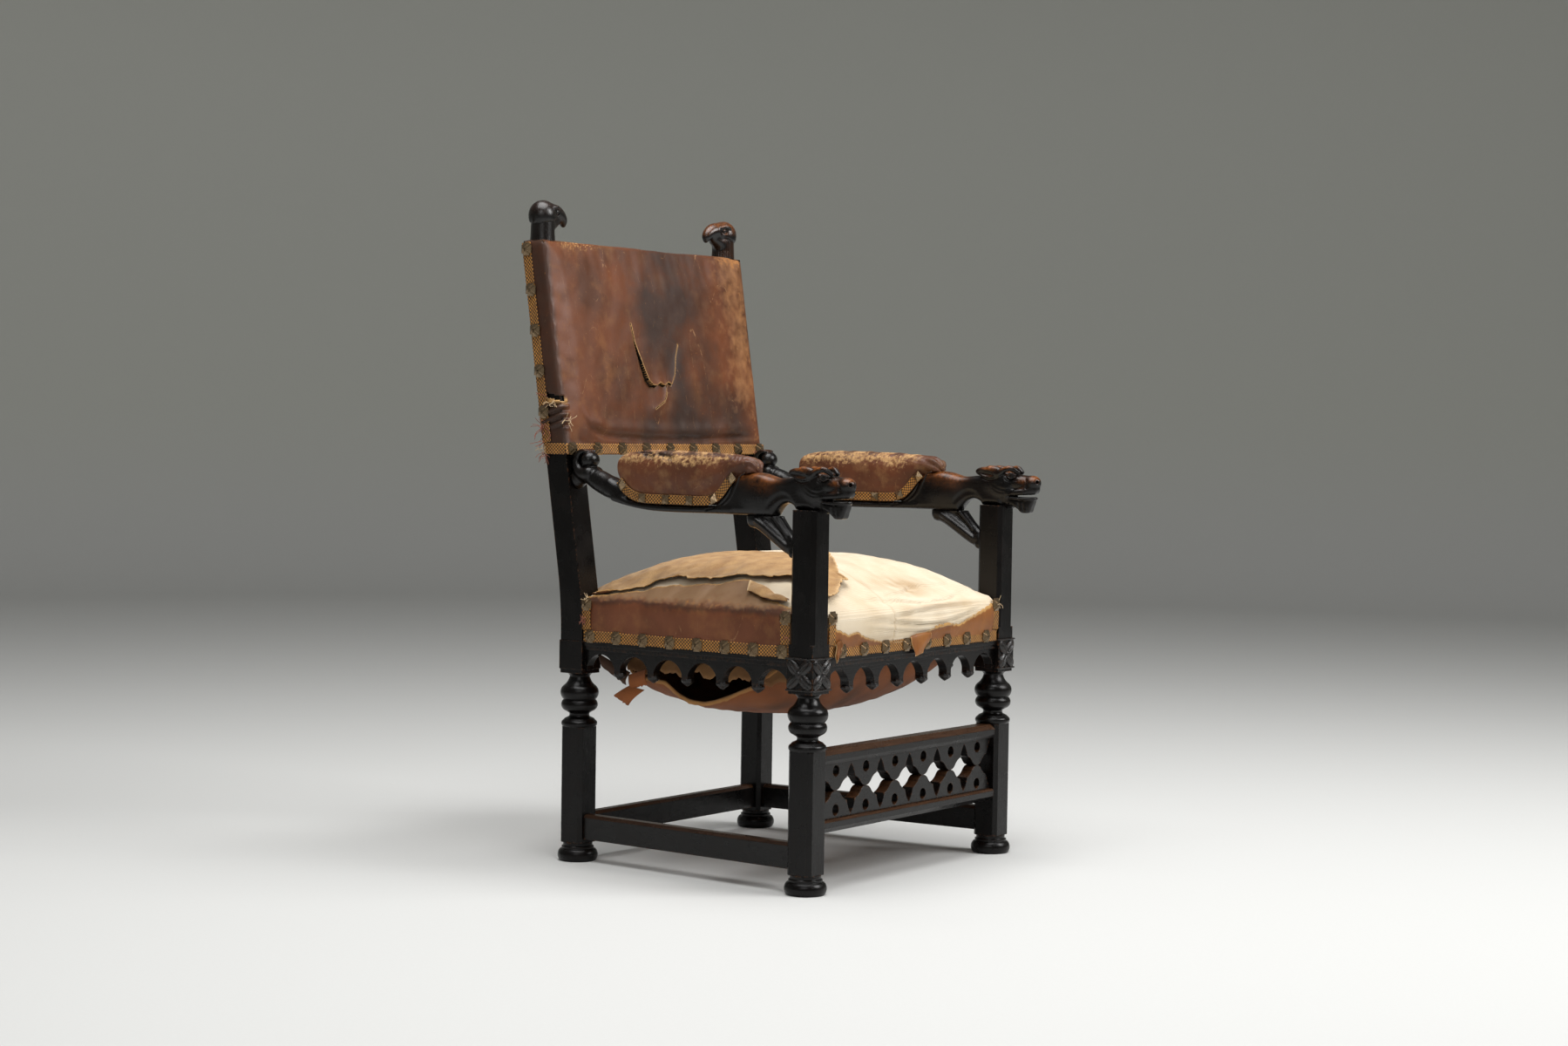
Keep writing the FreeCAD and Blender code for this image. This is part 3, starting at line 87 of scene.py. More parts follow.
def colour(code):
    """A linear colour from an sRGB hex code."""
    parts = [int(code[i:i + 2], 16) / 255 for i in (1, 3, 5)]
    return [c / 12.92 if c <= 0.04045 else ((c + 0.055) / 1.055) ** 2.4 for c in parts] + [1.0]


def add(tree, kind, inputs, output=0):
    """Adds one node; each input is a setting of the node, a number, a hex colour or another node's output."""
    node = tree.nodes.new("ShaderNode" + kind)
    for key, value in inputs.items():
        if isinstance(key, str) and hasattr(node, key):
            setattr(node, key, value)
        elif isinstance(value, bpy.types.NodeSocket):
            tree.links.new(value, node.inputs[key])
        else:
            node.inputs[key].default_value = colour(value) if isinstance(value, str) else value
    return node.outputs[output] if node.outputs else None


def per(size_mm):
    """The texture scale at which one cell is this many millimetres across."""
    return 1 / (size_mm * MM)


def start(name):
    """An empty material, the function that adds nodes to it, and the object's own coordinates in metres."""
    material = bpy.data.materials.new(name)
    material.use_nodes = True
    material.node_tree.nodes.clear()
    node = functools.partial(add, material.node_tree)
    return material, node, node("TexCoord", {}, "Object")


def ebonised_walnut(name, grain, wear, tops=0.0, gloss=0.3):
    """Walnut stained black and waxed: near black with a soft gloss, brown where edges or tops are rubbed."""
    material, node, place = start(name)
    drawn = node("Mapping", {"Vector": place, "Scale": grain})
    fibres = node("TexNoise", {"Vector": drawn, "Scale": per(2.2), "Detail": 6.0})
    pores = node("TexNoise", {"Vector": drawn, "Scale": per(0.9)})
    clouds = node("TexNoise", {"Vector": place, "Scale": per(45), "Detail": 3.0})
    flecks = node("TexNoise", {"Vector": place, "Scale": per(5), "Detail": 5.0})
    inside = node("AmbientOcclusion", {"inside": True, "samples": 6, "Distance": 4 * MM}, "AO")
    edge = node("MapRange", {"Value": inside, "From Min": 0.8, "From Max": 0.42})
    chance = node("MapRange", {"Value": flecks, "From Min": 0.44, "From Max": 0.64})
    worn = node("Math", {"operation": "MULTIPLY", 0: edge, 1: chance})
    facing = node("SeparateXYZ", {"Vector": node("NewGeometry", {}, "Normal")}, "Z")
    trodden = node("MapRange", {"Value": facing, "From Min": 0.5, "From Max": 0.7, "To Max": tops})
    trodden = node("Math", {"operation": "MULTIPLY", 0: trodden, 1: fibres})
    rub = node("Attribute", {"attribute_name": "rub"}, "Fac")
    rub_chance = node("MapRange", {"Value": flecks, "From Min": 0.3, "From Max": 0.62, "To Min": 0.25})
    rubbed = node("Math", {"operation": "MULTIPLY", 0: rub, 1: rub_chance})
    base = "#050404"
    for share, over in (
        (node("MapRange", {"Value": fibres, "From Min": 0.35, "From Max": 0.7}), "#0c0908"),
        (node("MapRange", {"Value": clouds, "From Min": 0.5, "From Max": 0.75, "To Max": 0.4}), "#140d0a"),
        (rubbed, "#8a4f22"),
        (node("MapRange", {"Value": worn, "From Min": 0.15, "From Max": 0.9, "To Max": wear}), "#6d4526"),
        (trodden, "#563925"),
    ):
        base = node("Mix", {"data_type": "RGBA", 0: share, 6: base, 7: over}, 2)
    dull = node("MapRange", {"Value": clouds, "From Min": 0.3, "From Max": 0.7,
                             "To Min": 0.2, "To Max": 0.34})
    dull = node("Math", {"operation": "MULTIPLY_ADD", 0: worn, 1: 0.25, 2: dull})
    pitted = node("MapRange", {"Value": pores, "From Min": 0.55, "From Max": 0.75, "To Max": -0.5})
    height = node("Math", {"operation": "ADD", 0: fibres, 1: pitted})
    rounded = node("Bevel", {"samples": 4, "Radius": 1.4 * MM})
    relief = node("Bump", {"Height": height, "Distance": 0.16 * MM, "Normal": rounded})
    shader = node("BsdfPrincipled", {"Base Color": base, "Roughness": dull,
                                     "Specular IOR Level": gloss, "Normal": relief})
    node("OutputMaterial", {"Surface": shader})
    return material


def plain_wood(name, light, dark):
    """Planed beech for the hidden frame: pale, dry and dusty."""
    material, node, place = start(name)
    drawn = node("Mapping", {"Vector": place, "Scale": GRAIN_ACROSS})
    fibres = node("TexNoise", {"Vector": drawn, "Scale": per(3), "Detail": 5.0})
    base = node("Mix", {"data_type": "RGBA", 0: fibres, 6: dark, 7: light}, 2)
    relief = node("Bump", {"Height": fibres, "Distance": 0.2 * MM})
    shader = node("BsdfPrincipled", {"Base Color": base, "Roughness": 0.75, "Normal": relief})
    node("OutputMaterial", {"Surface": shader})
    return material


def tanned_leather(name, hide, deep, tan, faded):
    """Old glazed cowhide: satin brown, darkened by grease and by painted shade where marked, scuffed to tan
    at edges, scratched and flecked.
    """
    material, node, place = start(name)
    drawn = node("Mapping", {"Vector": place, "Scale": (1, 1, 0.3)})
    clouds = node("TexNoise", {"Vector": place, "Scale": per(80), "Detail": 4.0})
    patches = node("TexNoise", {"Vector": place, "Scale": per(17), "Detail": 6.0})
    fading = node("TexNoise", {"Vector": place, "Scale": per(34), "Detail": 8.0, "Roughness": 0.62})
    scuffs = node("TexNoise", {"Vector": place, "Scale": per(7), "Detail": 7.0, "Roughness": 0.72})
    specks = node("TexNoise", {"Vector": place, "Scale": per(4.5), "Detail": 3.0})
    scratches = node("TexNoise", {"Vector": drawn, "Scale": per(48), "Detail": 0.0})
    pores = node("TexVoronoi", {"Vector": place, "Scale": per(1.8)}, "Distance")
    stain, rub, fade, torn = (node("Attribute", {"attribute_name": mark_name}, "Fac")
                              for mark_name in ("stain", "rub", "faded", "torn"))
    # The marked darkening is partly real stains and partly painted shade, on the back's left side.
    blotched = node("Math", {"operation": "MULTIPLY_ADD", 0: patches, 1: 0.45, 2: stain})
    fuzzy = node("Math", {"operation": "MULTIPLY_ADD", 0: scuffs, 1: 2.4, 2: rub})
    fuzz = node("MapRange", {"Value": fuzzy, "From Min": 1.66, "From Max": 2.1})
    greyed = node("Math", {"operation": "MULTIPLY_ADD", 0: patches, 1: 0.9, 2: fade})
    line = node("Math", {"operation": "COMPARE", 0: scratches, 1: 0.5, 2: 0.0028})
    broken = node("MapRange", {"Value": scuffs, "From Min": 0.5, "From Max": 0.58, "To Max": 0.6})
    flecked = node("MapRange", {"Value": specks, "From Min": 0.7, "From Max": 0.75, "To Max": 0.4})
    base = hide
    for share, over in (
        (node("MapRange", {"Value": clouds, "From Min": 0.4, "From Max": 0.64}), deep),
        (node("MapRange", {"Value": fading, "From Min": 0.5, "From Max": 0.78, "To Max": 0.4}), tan),
        (node("MapRange", {"Value": blotched, "From Min": 0.36, "From Max": 1.1, "To Max": 0.85}), "#2b221e"),
        (node("MapRange", {"Value": greyed, "From Min": 0.6, "From Max": 1.3, "To Max": 0.85}), faded),
        (fuzz, tan),
        (node("Math", {"operation": "MULTIPLY", 0: line, 1: broken}), "#96714e"),
        (flecked, tan),
        (torn, "#b88d55"),
    ):
        base = node("Mix", {"data_type": "RGBA", 0: share, 6: base, 7: over}, 2)
    dull = node("MapRange", {"Value": patches, "From Min": 0.3, "From Max": 0.7,
                             "To Min": 0.38, "To Max": 0.52})
    dull = node("Math", {"operation": "MULTIPLY_ADD", 0: fuzz, 1: 0.35, 2: dull})
    height = node("Math", {"operation": "MULTIPLY_ADD", 0: pores, 1: 0.3, 2: patches})
    height = node("Math", {"operation": "MULTIPLY_ADD", 0: fuzz, 1: 0.5, 2: height})
    relief = node("Bump", {"Height": height, "Distance": 0.22 * MM})
    shader = node("BsdfPrincipled", {"Base Color": base, "Roughness": dull,
                                     "Specular IOR Level": 0.28, "Normal": relief})
    node("OutputMaterial", {"Surface": shader})
    return material


def suede(name, light, dark):
    """The flesh side of old leather: matt, fibrous tan with darker grubby patches."""
    material, node, place = start(name)
    patches = node("TexNoise", {"Vector": place, "Scale": per(24), "Detail": 6.0})
    fibres = node("TexNoise", {"Vector": place, "Scale": per(1.6), "Detail": 4.0})
    base = light
    for share, over in (
        (node("MapRange", {"Value": patches, "From Min": 0.38, "From Max": 0.66}), dark),
        (node("MapRange", {"Value": fibres, "From Min": 0.45, "From Max": 0.7, "To Max": 0.4}), "#5f3b1d"),
        (node("Attribute", {"attribute_name": "torn"}, "Fac"), "#c8a678"),
    ):
        base = node("Mix", {"data_type": "RGBA", 0: share, 6: base, 7: over}, 2)
    height = node("Math", {"operation": "ADD", 0: fibres, 1: patches})
    relief = node("Bump", {"Height": height, "Distance": 0.45 * MM})
    shader = node("BsdfPrincipled", {"Base Color": base, "Roughness": 0.88,
                                     "Sheen Weight": 0.15, "Normal": relief})
    node("OutputMaterial", {"Surface": shader})
    return material


WAVE_PERIOD = 0.314


def woven(name, light, dark, thread_mm, grime, stain):
    """Plain woven cotton or jute: crossed threads, rough and matt, stained in clouds.

    The threads are drawn coarser than they are so that they can be seen.
    """
    material, node, place = start(name)
    waves = [node("TexWave", {"bands_direction": axis, "Vector": place, "Scale": per(thread_mm) * WAVE_PERIOD,
                              "Distortion": 0.6, "Detail": 1.0}, "Fac") for axis in "XYZ"]
    crossed = node("Math", {"operation": "MAXIMUM", 0: waves[0], 1: waves[2]})
    weave = node("Math", {"operation": "MULTIPLY", 0: crossed, 1: waves[1]})
    clouds = node("TexNoise", {"Vector": place, "Scale": per(60), "Detail": 4.0})
    base = light
    for share, over in (
        (node("MapRange", {"Value": clouds, "From Min": 0.35, "From Max": 0.7}), dark),
        # The gaps between the threads take a darker colour.
        (node("MapRange", {"Value": weave, "From Min": 0.0, "From Max": 0.8,
                           "To Min": 0.25, "To Max": 0.0}), grime),
        (node("Attribute", {"attribute_name": "stain"}, "Fac"), stain),
    ):
        base = node("Mix", {"data_type": "RGBA", 0: share, 6: base, 7: over}, 2)
    relief = node("Bump", {"Height": weave, "Distance": thread_mm * 0.18 * MM})
    shader = node("BsdfPrincipled", {"Base Color": base, "Roughness": 0.92,
                                     "Sheen Weight": 0.1, "Normal": relief})
    node("OutputMaterial", {"Surface": shader})
    return material


def gold_braid(name):
    """Woven gimp braid in dulled gold thread: rows of knots with dark gaps, red flecks and worn patches.

    The weave is drawn coarser than the real 4 mm so that it can be seen.
    """
    material, node, place = start(name)
    turns = []
    for direction, pitch_mm in (("along", 6.4), ("across", 5.6)):
        value = node("Attribute", {"attribute_name": direction}, "Fac")
        angle = node("Math", {"operation": "MULTIPLY", 0: value, 1: 2 * math.pi / pitch_mm})
        turns.append(node("Math", {"operation": "COSINE", 0: angle}))
    knots = node("Math", {"operation": "MULTIPLY", 0: turns[0], 1: turns[1]})
    patches = node("TexNoise", {"Vector": place, "Scale": per(25), "Detail": 4.0})
    specks = node("TexNoise", {"Vector": place, "Scale": per(2.2)})
    base = "#2a190c"
    for share, over in (
        (node("MapRange", {"Value": knots, "From Min": -0.35, "From Max": 0.6}), "#c08639"),
        (node("MapRange", {"Value": patches, "From Min": 0.42, "From Max": 0.7, "To Max": 0.55}), "#5c3d1f"),
        (node("MapRange", {"Value": specks, "From Min": 0.64, "From Max": 0.72, "To Max": 0.7}), "#5e2016"),
    ):
        base = node("Mix", {"data_type": "RGBA", 0: share, 6: base, 7: over}, 2)
    relief = node("Bump", {"Height": specks, "Distance": 0.4 * MM})
    shader = node("BsdfPrincipled", {"Base Color": base, "Roughness": 0.75, "Normal": relief})
    node("OutputMaterial", {"Surface": shader})
    return material


def tarnished_brass(name):
    """Stamped brass nail heads, tarnished to dark bronze with a dull gleam on each facet."""
    material, node, place = start(name)
    patches = node("TexNoise", {"Vector": place, "Scale": per(4), "Detail": 5.0})
    base = node("Mix", {"data_type": "RGBA", 0: patches, 6: "#a38b6b", 7: "#4d4033"}, 2)
    dull = node("MapRange", {"Value": patches, "From Min": 0.3, "From Max": 0.7,
                             "To Min": 0.2, "To Max": 0.38})
    shader = node("BsdfPrincipled", {"Base Color": base, "Metallic": 0.95, "Roughness": dull})
    node("OutputMaterial", {"Surface": shader})
    return material


def thread(name, code):
    """Loose silk and linen ends: matt, single coloured with a slight sheen."""
    material, node, place = start(name)
    fade = node("TexNoise", {"Vector": place, "Scale": per(6)})
    faded = node("MapRange", {"Value": fade, "To Max": 0.6})
    base = node("Mix", {"data_type": "RGBA", 0: faded, 6: code, 7: "#a87f62"}, 2)
    shader = node("BsdfPrincipled", {"Base Color": base, "Roughness": 0.8, "Sheen Weight": 0.2})
    node("OutputMaterial", {"Surface": shader})
    return material


def studio_paint(name, floor, wall):
    """Matt studio paint, pale on the floor and grey up the wall."""
    material, node, place = start(name)
    rolled = node("TexNoise", {"Vector": place, "Scale": per(6), "Detail": 3.0})
    height = node("SeparateXYZ", {"Vector": place}, "Z")
    upright = node("MapRange", {"Value": height, "From Min": 0.02, "From Max": 0.9,
                                "interpolation_type": "SMOOTHSTEP"})
    base = floor
    for share, over in (
        (upright, wall),
        (node("MapRange", {"Value": rolled, "From Min": 0.2, "From Max": 0.8, "To Max": 0.04}), "#8d8d8b"),
    ):
        base = node("Mix", {"data_type": "RGBA", 0: share, 6: base, 7: over}, 2)
    shader = node("BsdfPrincipled", {"Base Color": base, "Roughness": 0.6})
    node("OutputMaterial", {"Surface": shader})
    return material


GRAIN_UP = (1, 1, 0.05)
GRAIN_ACROSS = (0.05, 1, 1)
GRAIN_DEEP = (1, 0.05, 1)
finish = {
    "wood_upright": ebonised_walnut("ebonised_walnut_upright", GRAIN_UP, 0.6, gloss=0.22),
    "wood_across": ebonised_walnut("ebonised_walnut_across", GRAIN_ACROSS, 0.15),
    "wood_deep": ebonised_walnut("ebonised_walnut_deep", GRAIN_DEEP, 0.15),
    "wood_carved": ebonised_walnut("ebonised_walnut_carved", GRAIN_UP, 0.06, gloss=0.45),
    "rail_across": ebonised_walnut("ebonised_walnut_rails", GRAIN_ACROSS, 0.7, 0.9),
    "rail_deep": ebonised_walnut("ebonised_walnut_side_rails", GRAIN_DEEP, 0.6, 0.5),
    "beech": plain_wood("planed_beech", "#a5835b", "#7d5d3b"),
    "leather": tanned_leather("glazed_cowhide", "#62371f", "#4a2a18", "#8f5f33", "#9a6c45"),
    "seat_leather": tanned_leather("glazed_cowhide_seat", "#6d402a", "#5c3420", "#96683c", "#8a6d50"),
    "pad_leather": tanned_leather("glazed_cowhide_pads", "#643a25", "#4f2e1e", "#b08a5c", "#86684a"),
    "front_leather": tanned_leather("glazed_cowhide_front", "#8a5528", "#6f421f", "#a8743a", "#94785a"),
    "suede": suede("leather_flesh_side", "#ae8856", "#936c3d"),
    "calico": woven("unbleached_calico", "#d6c8b1", "#c8b69a", 2.6, "#b39c78", "#9a7647"),
    "hessian": woven("base_hessian", "#8d6a42", "#6b4c2c", 1.6, "#3f2b18", "#3b2a1b"),
    "dust_cloth": woven("waxed_dust_cloth", "#955320", "#783f18", 1.6, "#5a361a", "#33200f"),
    # The paler hem cloth is also painted light on the remnant behind the arches.
    "hem_cloth": woven("dust_cloth_hem", "#b5834a", "#996636", 1.6, "#6b4722", "#33200f"),
    "horsehair": woven("matted_horsehair", "#3a2c20", "#241a12", 3.0, "#15100b", "#15100b"),
    "jute": woven("jute_webbing", "#a3865a", "#86693f", 2.2, "#4f3b22", "#3b2a1b"),
    "braid": gold_braid("gold_gimp_braid"),
    "brass": tarnished_brass("tarnished_brass"),
    "red_thread": thread("red_silk_ends", "#7d2319"),
    "pale_thread": thread("linen_ends", "#b9a47c"),
}


def paint(piece, *materials):
    """Replaces a piece's materials."""
    piece.data.materials.clear()
    for material in materials:
        piece.data.materials.append(material)


def paint_frame():
    """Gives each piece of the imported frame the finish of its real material."""
    by_slot = {"frame_wood": "beech", "webbing": "jute", "base_cloth": "hessian", "stuffing": "horsehair",
               "brass_studs": "brass", "braid": "braid", "leather": "leather", "calico": "calico"}
    for part in frame["record"]["subparts"]:
        name, slot = part["node"], part["material_slot"]
        key = by_slot.get(slot)
        if slot == "ebonised_wood":
            crosswise = name.startswith("tracery") or any(word in name for word in ("front", "back"))
            turned = "across" if crosswise else "deep"
            key = "wood_upright"
            if name.startswith(("apron", "arm_")):
                key = f"wood_{turned}"
            elif name.startswith(("stretcher", "tracery", "front_stretcher")):
                key = f"rail_{turned}"
        paint(nodes[name], finish[key])


# Floor and light

STUDIO_RADIUS = 7.0
STUDIO_CURVE = 2.5
STUDIO_WALL = 5.0


def make_studio():
    """A round pale floor that curves up into a wall all round, with three soft lamps."""
    quarter = [math.pi / 2 * i / 12 for i in range(13)]
    profile = [(0.0, 0.0), (STUDIO_RADIUS / 2, 0.0)]
    profile += [(STUDIO_RADIUS + STUDIO_CURVE * math.sin(a), STUDIO_CURVE * (1 - math.cos(a)))
                for a in quarter]
    profile.append((STUDIO_RADIUS + STUDIO_CURVE, STUDIO_WALL))
    steps = 96
    verts = [(r * math.cos(2 * math.pi * k / steps), r * math.sin(2 * math.pi * k / steps), z)
             for r, z in profile for k in range(steps)]
    faces = []
    for ring in range(0, (len(profile) - 1) * steps, steps):
        for k in range(steps):
            here, beside = ring + k, ring + (k + 1) % steps
            faces.append((here, beside, beside + steps, here + steps))
    studio = solid("studio", verts, faces)
    paint(studio, studio_paint("matt_studio_paint", "#c9c9c7", "#c6c7c0"))
    lamps = (
        ("key", (1.4, -3.4, 3.0), 2.0, 150),
        ("fill", (-3.4, -1.8, 2.6), 1.6, 24),
        ("top", (-0.5, -0.2, 4.0), 3.0, 200),
    )
    for name, place, width, power in lamps:
        data = bpy.data.lights.new(name, "AREA")
        data.shape = "SQUARE"
        data.size = width
        data.energy = power
        lamp = bpy.data.objects.new(name, data)
        lamp.location = place
        aim = Vector((0, 0, 0.5)) - Vector(place)
        lamp.rotation_euler = aim.to_track_quat("-Z", "Y").to_euler()
        bpy.context.collection.objects.link(lamp)
    world = bpy.data.worlds.new("studio_air")
    world.use_nodes = True
    world.node_tree.nodes["Background"].inputs["Color"].default_value = colour("#c8c8c6")
    world.node_tree.nodes["Background"].inputs["Strength"].default_value = 0.26
    bpy.context.scene.world = world


# Mesh helpers

def solid(name, verts, faces, smooth=True):
    """A mesh object from points and faces."""
    mesh = bpy.data.meshes.new(name)
    mesh.from_pydata([tuple(map(float, v)) for v in verts], [], [tuple(map(int, f)) for f in faces])
    mesh.validate()
    if smooth:
        mesh.shade_smooth()
    piece = bpy.data.objects.new(name, mesh)
    bpy.context.collection.objects.link(piece)
    return piece


def settle(piece, slot, *stands_for):
    """Fixes a finished piece to the chair and hides the frame parts it stands for; slot is not used."""
    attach(piece, "root")
    if stands_for:
        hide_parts(*stands_for)
    return piece


# Carving: each carved piece is a field of distances in mm, shaped by joining and cutting forms

def curve(points, steps=6):
    """Points along a smooth line through the given ones; each may carry a radius as its last number."""
    points = np.array(points, float)
    before = np.vstack([2 * points[0] - points[1], points, 2 * points[-1] - points[-2]])
    made = []
    for a, b, c, d in zip(before, before[1:], before[2:], before[3:]):
        for t in np.arange(steps) / steps:
            made.append(0.5 * (2 * b + (c - a) * t + (2 * a - 5 * b + 4 * c - d) * t ** 2
                               + (3 * b - a - 3 * c + d) * t ** 3))
    made.append(points[-1])
    return np.array(made)


def ellipsoid(centre, radii, tilt=0.0):
    """An egg-shaped form; tilt, in degrees, lifts its first axis."""
    cosine, sine = math.cos(math.radians(tilt)), math.sin(math.radians(tilt))

    def distance(u, v, z):
        u, v, z = u - centre[0], v - centre[1], z - centre[2]
        u, z = u * cosine + z * sine, z * cosine - u * sine
        shell = np.sqrt((u / radii[0]) ** 2 + (v / radii[1]) ** 2 + (z / radii[2]) ** 2)
        slope = np.sqrt((u / radii[0] ** 2) ** 2 + (v / radii[1] ** 2) ** 2 + (z / radii[2] ** 2) ** 2)
        return shell * (shell - 1) / np.maximum(slope, 1e-6)

    reach = max(radii)
    return distance, (centre[0] - reach, centre[2] - reach), (centre[0] + reach, centre[2] + reach)


def rod(points, steps=4):
    """A round rod along a smooth line of (u, v, z, radius) points."""
    line = curve(points, steps)

    def distance(u, v, z):
        nearest = None
        for a, b in zip(line, line[1:]):
            along = b[:3] - a[:3]
            length = max(float(along @ along), 1e-9)
            share = ((u - a[0]) * along[0] + (v - a[1]) * along[1] + (z - a[2]) * along[2]) / length
            share = np.clip(share, 0, 1)
            gap = np.sqrt((u - a[0] - share * along[0]) ** 2 + (v - a[1] - share * along[1]) ** 2
                          + (z - a[2] - share * along[2]) ** 2) - (a[3] + share * (b[3] - a[3]))
            nearest = gap if nearest is None else np.minimum(nearest, gap)
        return nearest

    reach = line[:, 3].max()
    return distance, line[:, [0, 2]].min(0) - reach, line[:, [0, 2]].max(0) + reach


def board(outline, half_width, rounding):
    """A board sawn to an outline in the side view, with rounded edges; half_width is a function of u."""
    outline = np.array(outline, float)

    def distance(u, v, z):
        side_u, side_z = np.broadcast_arrays(u[:, :, 0], z[0, :, :].T.reshape(1, -1))
        gap = np.full(side_u.shape, 1e9)
        inside = np.zeros(side_u.shape, bool)
        for a, b in zip(outline, np.roll(outline, -1, 0)):
            edge = b - a
            share = ((side_u - a[0]) * edge[0] + (side_z - a[1]) * edge[1]) / max(float(edge @ edge), 1e-9)
            share = np.clip(share, 0, 1)
            gap = np.minimum(gap, np.hypot(side_u - a[0] - share * edge[0], side_z - a[1] - share * edge[1]))
            crosses = (a[1] > side_z) != (b[1] > side_z)
            with np.errstate(divide="ignore", invalid="ignore"):
                at = a[0] + (side_z - a[1]) * edge[0] / edge[1]
            inside ^= crosses & (side_u < at)
        flat = np.where(inside, -gap, gap)[:, None, :] + rounding
        wide = v - half_width(u) + rounding
        outside = np.hypot(np.maximum(flat, 0), np.maximum(wide, 0))
        return outside + np.minimum(np.maximum(flat, wide), 0) - rounding

    return distance, outline.min(0), outline.max(0)


class Carving:
    """A block whose two faces mirror each other, u along it, v out to either side and z up."""

    def __init__(self, low, high, voxel):
        self.low, self.voxel = np.array(low, float), voxel
        counts = [int((h - l) / voxel) + 1 for l, h in zip(low, high)]
        u, v, z = (l + voxel * np.arange(n) for l, n in zip(low, counts))
        self.u, self.v, self.z = u[:, None, None], np.abs(v)[None, :, None], z[None, None, :]
        self.field = np.full(counts, 1e3)

    def window(self, form, margin):
        """The part of the block round a form, and the distances from the form there."""
        distance, low, high = form
        across = np.flatnonzero((self.u[:, 0, 0] > low[0] - margin) & (self.u[:, 0, 0] < high[0] + margin))
        up = np.flatnonzero((self.z[0, 0, :] > low[1] - margin) & (self.z[0, 0, :] < high[1] + margin))
        part = (slice(across[0], across[-1] + 1), slice(None), slice(up[0], up[-1] + 1))
        return part, distance(self.u[part[0]], self.v, self.z[:, :, part[2]])

    def join(self, form, blend=3.0):
        """Adds a form, running into the rest over a blend in mm."""
        part, gap = self.window(form, 3 * blend + 4)
        share = np.clip(0.5 + 0.5 * (self.field[part] - gap) / blend, 0, 1)
        self.field[part] = self.field[part] * (1 - share) + gap * share - blend * share * (1 - share)

    def cut(self, form, blend=2.0):
        """Takes a form away, with its rim softened over a blend in mm."""
        part, gap = self.window(form, 3 * blend + 4)
        share = np.clip(0.5 - 0.5 * (self.field[part] + gap) / blend, 0, 1)
        self.field[part] = self.field[part] * (1 - share) - gap * share + blend * share * (1 - share)

    def plane(self, gap):
        """Saws off what lies where gap is above zero."""
        self.field = np.maximum(self.field, gap)

    def mesh(self):
        """The carved surface: points in mm and quads that face outwards."""
        band = 4 * self.voxel
        grid = openvdb.FloatGrid(background=band)
        grid.copyFromArray(np.clip(self.field, -band, band).astype(np.float32))
        points, quads = grid.convertToQuads(isovalue=0.0)
        points = self.low + points * self.voxel
        quads = quads.astype(int)
        first = points[quads[:, 0]]
        volume = (first * np.cross(points[quads[:, 1]] - first, points[quads[:, 2]] - first)).sum()
        return points, quads if volume > 0 else quads[:, ::-1]


def rubbed_tops(piece, chosen):
    """Marks the tops that hands have rubbed, where chosen is 1."""
    upward = np.clip((read_normals(piece)[:, 2] + 0.1) / 0.7, 0, 1)
    mark(piece, "rub", upward * chosen)


def mark(piece, name, values):
    """Stores one number per point for a material to read."""
    layer = piece.data.attributes.new(name, "FLOAT", "POINT")
    layer.data.foreach_set("value", np.asarray(values, np.float32))


# Arms: hound heads in front, a trough for the pad and a scroll behind

LEG_X, LEG_Y = 278.5, -259.94
SPLAY = math.radians(3.07)
POST_HALF = 23
POST_TOP = 600
ARM_VOXEL = 1.1


def from_arm(points, side):
    """Places points of the arm's own frame (u back, v outward, z up, in mm) in the chair, in metres."""
    u, v, z = points[:, 0], points[:, 1], points[:, 2]
    x = side * (LEG_X - u * math.sin(SPLAY) + v * math.cos(SPLAY))
    y = LEG_Y + u * math.cos(SPLAY) + v * math.sin(SPLAY)
    return np.column_stack([x, y, z]) * MM


